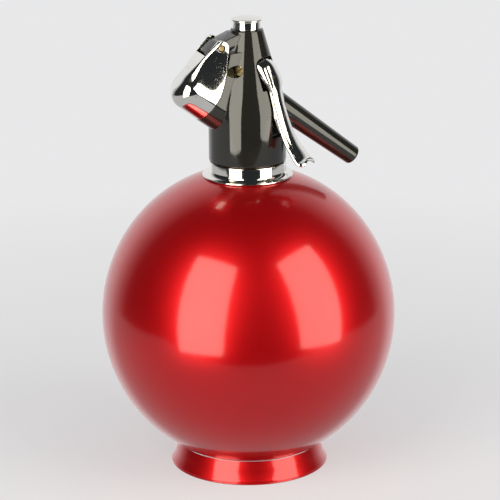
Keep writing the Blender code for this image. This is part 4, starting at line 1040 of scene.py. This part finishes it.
@dataclass
class Head:
    """Gloss black head with its tower, charge pod and hinge block, the cap and the spout."""

    base: float = 0.1715
    radius: float = 0.02085
    shoulder: float = 0.1965
    bend_height: float = 0.2040
    cone_height: float = 0.2125
    cone_radius: float = 0.0178
    neck_height: float = 0.2251
    neck_radius: float = 0.01385
    top: float = 0.2432
    top_radius: float = 0.00885
    edge: float = 0.0009
    pod_start: float = -0.0041
    boss_radius: float = 0.0027
    block_round: float = 0.0008
    block_end: float = 0.0037
    block_slant: float = 0.65
    ear_room: float = 0.0020
    arm_reach: float = 0.0088
    arm_drop: float = 0.0017
    insert_radius: float = 0.0188
    insert_top: float = 0.1727
    cap_spigot: float = 0.0072
    cap_floor: float = 0.2403
    cap_lip: float = 0.0085
    cap_body: float = 0.0075
    cap_height: float = 0.0064
    cap_dome: float = 0.0015
    cap_roll: float = 0.0005
    cap_lean: float = 0.62
    charger_radius: float = 0.0107
    charger_neck: float = 0.0048
    charge_mouth: float = 0.0272
    charge_shoulder: float = -0.0080
    charge_throat: float = -0.0140
    charge_floor: float = -0.0213
    spout_length: float = 0.0774
    spout_start: float = 0.0078
    spout_shoulder: float = 0.0178
    spout_radius: float = 0.0066
    spout_root: float = 0.0040
    spout_bore: float = 0.0024
    spout_step: float = 0.0022
    spout_tip: float = 0.0053
    spout_tip_round: float = 0.0016
    valve_offset: float = 0.0040
    valve_radius: float = 0.0055
    valve_base: float = 0.2091
    valve_top: float = 0.2220
    spring_radius: float = 0.0030
    spring_base: float = 0.2270
    spring_top: float = 0.2410
    cut: float = 0.003

    def build(self, shop: Workshop) -> None:
        """Build and dress the head's fixed pieces.

        Args:
            shop: Where finishes come from.
        """
        shop.dress(self.housing(), Slot.BLACK, "head", "head_housing", crease=24.0)
        shop.dress(self.cap(), Slot.CHROME, "head", "top_cap")
        shop.dress(LEVER.screw(), Slot.BRASS, "head", "lever_pin")
        shop.dress(self.spout(), Slot.BLACK, "head", "spout")

    def tower(self) -> Shape:
        """Turn the tower.

        Returns:
            The tower as a solid.
        """
        shoulder = bend((self.cone_radius, self.cone_height), (self.radius, self.bend_height),
                        (self.radius, self.shoulder), 16)
        crown = arc((self.top_radius - self.edge, self.top - self.edge), self.edge, 90.0, 15.0, 5)
        foot = arc((self.radius - self.edge, self.base + self.edge), self.edge, 0.0, -90.0, 6)
        return lathe("housing_shell", [(0.0, self.top), *crown,
                                       (self.neck_radius, self.neck_height), *shoulder, *foot,
                                       (0.0, self.base)], steps=192)

    def pod(self) -> Shape:
        """Make the charge pod, round below and leaning in towards the hinge above.

        Returns:
            The pod as a solid.
        """
        half = LID.half_width
        lean = LID.taper()
        top = LID.hinge_up + 2 * LID.ear_radius
        upper = (half - top * math.sin(lean)) / math.cos(lean)
        degrees = math.degrees(lean)
        section = [*arc((0.0, 0.0), half, 90.0 - degrees, 270.0 + degrees, 64), (top, -upper),
                   (top, upper)]
        bar = plate("pod", section, self.pod_start, LID.back + LID.reach, FRAMES.pod_axial())
        low = (self.pod_start, -half - self.cut)
        ear_side = (LID.hinge_out - LID.ear_radius - self.ear_room, LID.hinge_up)
        outline = [low, *LID.rear(GAP), ear_side, self.inner_high()]
        wide = half + self.cut
        return combine(bar, "INTERSECT", plate("pod_side", outline, -wide, wide, FRAMES.pod_side()))

    def inner_high(self) -> tuple[float, float]:
        """Point inside the tower where the pod's and the block's upper edges end."""
        return FRAMES.in_pod(self.top_radius * 3 / 4, self.top - self.radius / 2)

    def block(self) -> Shape:
        """Make the hinge block and the arm up to the tower's top.

        Returns:
            The block as a solid.
        """
        rear = LID.rear(GAP)
        boss = arc((LID.hinge_out, LID.hinge_up), self.boss_radius, 0.0, 75.0, 12)
        low = LID.top_edge + GAP
        outline = [rear[2], (rear[3][0], low), (LID.hinge_out + self.block_end * self.block_slant, low),
                   (LID.hinge_out + self.block_end, LID.top_edge + self.block_end / 2), *boss,
                   FRAMES.in_pod(self.arm_reach, self.top - self.arm_drop),
                   FRAMES.in_pod(0.0, self.top - self.arm_drop), self.inner_high()]
        half = LID.hinge_half - LID.ear_wall - GAP
        return rounded(plate("hinge_block", outline, -half, half, FRAMES.pod_side()),
                       self.block_round, 5)

    def ways(self) -> list[Shape]:
        """Make the spaces in the housing for the pieces that it holds.

        Returns:
            The spaces as solids.
        """
        wide = LID.half_width + self.cut
        valve = FRAMES.lever() @ Matrix.Translation((-self.valve_offset, 0.0, 0.0))
        rim = self.charge_mouth + self.cut
        bore = [(0.0, rim), (self.charger_radius, rim),
                (self.charger_radius, self.charge_shoulder),
                (self.charger_neck, self.charge_throat), (self.charger_neck, self.charge_floor),
                (0.0, self.charge_floor)]
        mouth = self.spout_radius + GAP
        root = self.spout_root + GAP
        step = self.spout_shoulder - self.spout_step
        start = self.spout_start - GAP
        spout = [(0.0, self.spout_length / 2), (mouth, self.spout_length / 2), (mouth, step),
                 (root, step), (root, start), (0.0, start)]
        return [
            rod("insert_way", self.insert_radius, self.base - self.cut, self.insert_top),
            rod("cap_way", self.cap_spigot, self.cap_floor, self.top + self.cut),
            lathe("charge_way", bore, FRAMES.pod_axial(), 96),
            lathe("spout_way", spout, FRAMES.spout_axial(), 64),
            rod("valve_way", self.valve_radius, self.valve_base, self.valve_top, valve),
            rod("spring_way", self.spring_radius, self.spring_base, self.spring_top, valve),
            rod("hinge_way", LID.pin_radius + GAP, -wide, wide, LID.hinge()),
            *LEVER.ways(),
        ]

    def housing(self) -> Shape:
        """Join the tower, pod and block, and cut the ways into them."""
        housing = combine(self.tower(), "UNION", self.pod(), self.block())
        return combine(housing, "DIFFERENCE", *self.ways())

    def cap(self) -> Shape:
        """Turn the chrome cap, a domed button with a lip and a bare top.

        Returns:
            The cap.
        """
        low = self.top + GAP
        rim = low + self.cap_height - self.cap_dome
        roll = self.cap_roll
        dome = bend((0.0, low + self.cap_height), (self.cap_lip * self.cap_lean, low + self.cap_height),
                    (self.cap_lip - roll, rim + roll * 0.6), 12)
        lip = arc((self.cap_lip - roll, rim - roll * 0.4), roll, 75.0, -60.0, 6)
        bead = roll / 2
        foot = arc((self.cap_body, low + bead), bead, 60.0, -60.0, 4)
        spigot = self.cap_spigot - GAP
        return lathe("cap_button", [*dome, *lip, (self.cap_body, rim - 2 * roll), *foot,
                                    (spigot, low), (spigot, self.cap_floor + GAP),
                                    (0.0, self.cap_floor + GAP)])

    def spout(self) -> Shape:
        """Turn the spout with its rounded tip and its bore.

        Returns:
            The spout.
        """
        end = self.spout_length
        tip = arc((self.spout_tip - self.spout_tip_round, end - self.spout_tip_round),
                  self.spout_tip_round, 90.0, 5.0, 8)
        return lathe("spout_nozzle", [(self.spout_bore, end), *tip,
                                      (self.spout_radius, self.spout_shoulder),
                                      (self.spout_root, self.spout_shoulder),
                                      (self.spout_root, self.spout_start),
                                      (self.spout_bore, self.spout_start)],
                     FRAMES.spout_axial(), 96)


@dataclass
class Lever:
    """Pressed chrome lever, a channel with ears round its pin and a finger behind it."""

    crown_out: float = 0.0120
    crown_height: float = 0.2275
    length: float = 0.0511
    throw: float = 0.0244
    thickness: float = 0.0012
    crown_half: float = 0.0070
    waist_half: float = 0.0048
    toe_half: float = 0.0071
    ear_radius: float = 0.0040
    ear_start: float = 56.0
    ear_sweep: float = 229.0
    ear_high: float = 0.014
    ear_low: float = 0.147
    knee_low: float = 0.36
    flange_low: float = 0.46
    crown_low: float = 0.22
    pin_out: float = 0.0032
    pin_height: float = 0.2227
    pin_radius: float = 0.0016
    screw_radius: float = 0.00315
    screw_near: float = 0.01065
    screw_head: float = 0.0013
    screw_rise: float = 0.0014
    screw_slot: float = 0.0004
    screw_turn: float = 40.0
    stem_foot: float = 0.0024
    finger_reach: float = 0.0101
    finger_top: float = 0.2238
    finger_thickness: float = 0.0022
    finger_root: float = 0.6
    slot_top: float = 0.2293
    slot_floor: float = 0.2207
    slot_back: float = 0.0078
    slot_front: float = 0.02085
    slot_low: float = 0.297
    mouth_low: float = 0.4
    slot_round: float = 0.0052
    crown_round: float = 0.0040
    bend_round: float = 0.0013
    bulge: float = 0.0010
    toe_round: float = 0.0026
    toe_depth: float = 0.0021
    rim_share: float = 0.42
    bridge: float = 0.0016
    inlay: float = 0.00005
    gap: float = 0.0009
    cut: float = 0.003
    steps: int = 9
    bend_steps: int = 7

    def down(self, share: float) -> float:
        """Height of a place that is this share of the lever's length down it."""
        return self.crown_height - share * self.length

    def pin_place(self) -> Matrix:
        """Frame with Z along the pin, out to its head."""
        return FRAMES.lever_side() @ Matrix.Translation((self.pin_out, self.pin_height, 0.0))

    def on_ear(self, angle: float) -> Vector:
        """Point on the ear's round edge at an angle in degrees."""
        turn = math.radians(angle)
        return Vector((self.pin_out + self.ear_radius * math.cos(turn),
                       self.pin_height + self.ear_radius * math.sin(turn)))

    def spine(self) -> Outline:
        """Middle of the lever's outer face, from over its crown down to the end of its lip."""
        web_shares = ((-0.10, -0.014), (0.0, 0.001), (0.10, 0.037), (0.18, 0.096), (0.279, 0.204),
                      (0.348, 0.374), (0.447, 0.53), (0.594, 0.714), (0.725, 0.828),
                      (0.877, 0.92), (0.97, 0.975), (1.03, 1.0), (1.09, 1.006), (1.13, 1.003))
        points = [(self.crown_out + out * self.throw, self.down(low)) for out, low in web_shares]
        return smooth(points, self.steps)

    def half_at(self, low: float) -> float:
        """Half-width of the lever.

        Args:
            low: How far down, as a share of the lever's length.

        Returns:
            The half-width.
        """
        crown, waist, toe = self.crown_half, self.waist_half, self.toe_half
        mixed = waist + (toe - waist) * 0.17
        wide = [(self.ear_low, crown), (0.225, waist + (crown - waist) * 0.64), (0.303, waist),
                (0.53, waist), (0.714, mixed), (0.828, waist + (toe - waist) * 0.44),
                (1.0, toe)]
        return read(wide, low)

    def rear_edge(self, spine: Outline, normals: list[Vector]) -> Outline:
        """Rear edge of the lever's sides, round the ear and down the flange.

        Args:
            spine: Middle of the outer face.
            normals: Outward direction at each of its points.

        Returns:
            A point for each point of the spine.
        """
        depth = [(0.42, 0.0039), (0.53, 0.0034), (0.70, 0.0026), (0.79, self.toe_depth)]
        knee = Vector((self.crown_out + self.thickness, self.pin_height - 3 * self.ear_radius))
        ear_end = self.on_ear(self.ear_start + self.ear_sweep)
        edge = []
        for (out, z), normal in zip(spine, normals):
            low = (self.crown_height - z) / self.length
            outer = Vector((out, z))
            place = outer - normal * read(depth, low)
            if low < self.ear_low:
                share = max(low + self.ear_high, 0.0) / (self.ear_low + self.ear_high)
                place = self.on_ear(self.ear_start + self.ear_sweep * share)
            elif low < self.knee_low:
                place = ear_end.lerp(knee, (low - self.ear_low) / (self.knee_low - self.ear_low))
            elif low < self.flange_low:
                place = knee.lerp(place, (low - self.knee_low) / (self.flange_low - self.knee_low))
            inward = (outer - place).normalized()
            edge.append(tuple(place + inward * self.thickness * self.rim_share))
        return edge

    def channel(self) -> Shape:
        """Press the lever's channel out of sheet, with its bends, ears and lip.

        Each station holds one loop of points, over the outer face, round the rim and back
        over the inner face.

        Returns:
            The channel as a closed sheet.
        """
        spine = self.spine()
        normals = []
        for i in range(len(spine)):
            along = (Vector(spine[min(i + 1, len(spine) - 1)])
                     - Vector(spine[max(i - 1, 0)])).normalized()
            normals.append(Vector((-along.y, along.x)))
        rear = self.rear_edge(spine, normals)
        spans = [0.0]
        for first, second in zip(spine, spine[1:]):
            spans.append(spans[-1] + (Vector(second) - Vector(first)).length)
        rows = []
        for (out, z), normal, edge, gone in zip(spine, normals, rear, spans):
            low = (self.crown_height - z) / self.length
            half = self.half_at(low)
            left = (spans[-1] - gone) / self.toe_round
            if left < 1.0:
                half -= self.toe_round * (1.0 - math.sqrt(1.0 - (1.0 - left) ** 2))
            turn = min(max(low / self.crown_low, 0.0), 1.0)
            bend_radius = self.crown_round + (self.bend_round - self.crown_round) * turn
            rows.append([self.crossing(Vector((out, z)), normal, Vector(edge), half - inset,
                                       max(bend_radius - inset, GAP), inset)
                         for inset in (0.0, self.thickness)])
        return self.sheet(rows)

    def crossing(self, middle: Vector, normal: Vector, edge: Vector, half: float,
                 bend_radius: float, inset: float) -> list[Vector]:
        """Line across one face of the sheet, from rim to rim.

        Args:
            middle: Middle of the outer face in the lever's plane.
            normal: Outward direction there.
            edge: Rear edge of the side there.
            half: Half-width of this face.
            bend_radius: Radius of its bends.
            inset: How far inside the outer face it lies.

        Returns:
            The points, each with its place in the plane and its place across.
        """
        side = []
        start = middle - normal * (inset + bend_radius)
        for share in (0.0, 0.25, 0.5, 0.75):
            point = edge.lerp(start, share)
            side.append(Vector((point.x, point.y, half)))
        for i in range(self.bend_steps + 1):
            angle = math.pi / 2 * i / self.bend_steps
            point = middle - normal * (inset + bend_radius * (1.0 - math.sin(angle)))
            side.append(Vector((point.x, point.y, half - bend_radius * (1 - math.cos(angle)))))
        flat = half - bend_radius
        for share in (0.75, 0.5, 0.25, 0.0):
            point = middle + normal * (self.bulge * (1.0 - share * share) - inset)
            side.append(Vector((point.x, point.y, flat * share)))
        return [*side, *[Vector((point.x, point.y, -point.z)) for point in side[-2::-1]]]

    def sheet(self, rows: list[list[list[Vector]]]) -> Shape:
        """Join the sheet's two faces and close them with rounded rims.

        Args:
            rows: The outer and the inner line of each station.

        Returns:
            The closed sheet.
        """
        work = bmesh.new()
        rim = self.thickness * self.rim_share
        loops = []
        for outer, inner in rows:
            ends = []
            for near, far in ((-1, -2), (0, 1)):
                away = (outer[near] - outer[far]).normalized()
                ends.append((outer[near] + inner[near]) / 2 + away * rim)
            points = [*outer, ends[0], *reversed(inner), ends[1]]
            loops.append([work.verts.new(point) for point in points])
        count = len(rows[0][0])
        for first, second in zip(loops, loops[1:]):
            for i in range(len(first)):
                j = (i + 1) % len(first)
                work.faces.new((first[i], first[j], second[j], second[i]))
        for here, beside in ((0, 1), (-1, -2)):
            outer, inner = rows[here]
            away = (rows[here][0][count // 2] - rows[beside][0][count // 2]).normalized()
            middle = [work.verts.new((a + b) / 2 + away * rim) for a, b in zip(outer, inner)]
            loop = loops[here]
            back = [loop[count + 1 + i] for i in reversed(range(count))]
            for i in range(count - 1):
                work.faces.new((loop[i], loop[i + 1], middle[i + 1], middle[i]))
                work.faces.new((middle[i], middle[i + 1], back[i + 1], back[i]))
            work.faces.new((loop[count - 1], loop[count], middle[-1]))
            work.faces.new((loop[count], back[-1], middle[-1]))
            work.faces.new((loop[0], middle[0], loop[-1]))
            work.faces.new((loop[-1], middle[0], back[0]))
        bmesh.ops.remove_doubles(work, verts=work.verts, dist=MERGE / 4)
        bmesh.ops.recalc_face_normals(work, faces=work.faces)
        return from_work("lever_channel", work, FRAMES.lever_side())

    def ways(self) -> list[Shape]:
        """Make the spaces in the housing for the lever, its pin and the pin's head.

        Returns:
            The spaces as solids.
        """
        far, low = self.slot_front + self.cut, self.down(self.slot_low)
        start = self.pin_out - self.stem_foot
        half = self.crown_half + self.gap
        pin_floor = self.pin_height - self.ear_radius - 3 * self.gap
        wide = plate("slot_wide", [(-self.slot_back, self.slot_floor),
                                   (-self.slot_back, self.slot_top), (far, self.slot_top),
                                   (far, low), (self.crown_out, low), (start, pin_floor),
                                   (self.pin_out - self.ear_radius - self.gap,
                                    self.slot_floor)], -half, half, FRAMES.lever_side())
        turn, low = self.slot_round, self.down(self.mouth_low)
        mouth = [(-half, low), (half, low),
                 *arc((half - turn, self.slot_top - turn), turn, 0.0, 90.0, 14),
                 *arc((turn - half, self.slot_top - turn), turn, 90.0, 180.0, 14)]
        combine(wide, "INTERSECT", plate("slot_mouth", mouth, -self.slot_back - self.cut,
                                         far + self.cut, FRAMES.lever_front()))
        depth_shares = ((0.02, 0.20), (0.24, 0.28), (0.48, 0.40), (0.55, 0.48), (0.615, 0.54),
                        (0.71, 0.635), (0.82, 0.735), (0.90, 0.785), (1.08, 0.81))
        back = smooth([(start + out * (far - self.cut - start), self.down(low))
                       for out, low in depth_shares], 4)
        half = self.waist_half + self.gap
        narrow = plate("slot_narrow", [*back, (far, back[-1][1]), (far, back[0][1])], -half,
                       half, FRAMES.lever_side())
        pin, near = self.pin_place(), self.screw_near
        return [wide, narrow, rod("pin_way", self.pin_radius, -near - GAP, near, pin, 32),
                rod("screw_way", self.screw_radius, near - self.screw_head - GAP, 2 * near, pin)]

    def screw(self) -> Shape:
        """Turn the pivot screw and cut the slot across its head.

        Returns:
            The screw.
        """
        place = self.pin_place()
        head, shank = self.screw_radius - GAP, self.pin_radius - GAP
        near, top = self.screw_near - self.screw_head, self.screw_near + self.screw_rise
        slot = self.screw_slot
        rim = arc((head - slot, top - slot), slot, 90.0, 0.0, 5)
        screw = lathe("lever_screw", [(0.0, top), *rim, (head, near), (shank, near),
                                      (shank, -self.screw_near), (0.0, -self.screw_near)],
                      place, 48)
        turned = place @ Matrix.Rotation(math.radians(self.screw_turn), 4, "Z")
        return combine(screw, "DIFFERENCE",
                       slab("screw_slot", (-2 * head, 2 * head), (-slot, slot),
                            (top - 2 * slot, top + head), turned))

    def build(self, shop: Workshop) -> None:
        """Build and dress the lever.

        Args:
            shop: Where finishes come from.
        """
        lever = self.channel()
        wide = self.toe_half + self.cut
        combine(lever, "DIFFERENCE",
                rod("lever_hole", self.pin_radius, -wide, wide, self.pin_place(), 32))
        place = FRAMES.lever_side()
        back = self.pin_out - self.finger_reach
        root = self.pin_out - self.ear_radius * self.finger_root
        tall = (self.finger_top - self.finger_thickness, self.finger_top)
        skin = self.crown_half - self.thickness
        bars = [slab("lever_bridge", (back, back + self.bridge), tall, (-skin, skin), place)]
        for side in (-1.0, 1.0):
            edges = sorted((side * (skin + self.inlay), side * (self.crown_half - self.inlay)))
            bars.append(slab("lever_finger", (back, root), tall, tuple(edges), place))
        combine(lever, "UNION", *bars)
        shop.dress(lever, Slot.CHROME, "lever", "trigger_lever", crease=50.0)


LEVER = Lever()


def main() -> None:
    """Build the siphon's looks in order."""
    logging.basicConfig(level=logging.INFO)
    Studio().build()
    shop = Workshop()
    shop.dress_nodes()
    for part in (Vessel(), Head(), LID, LEVER):
        part.build(shop)


if __name__ == "__main__":
    main()
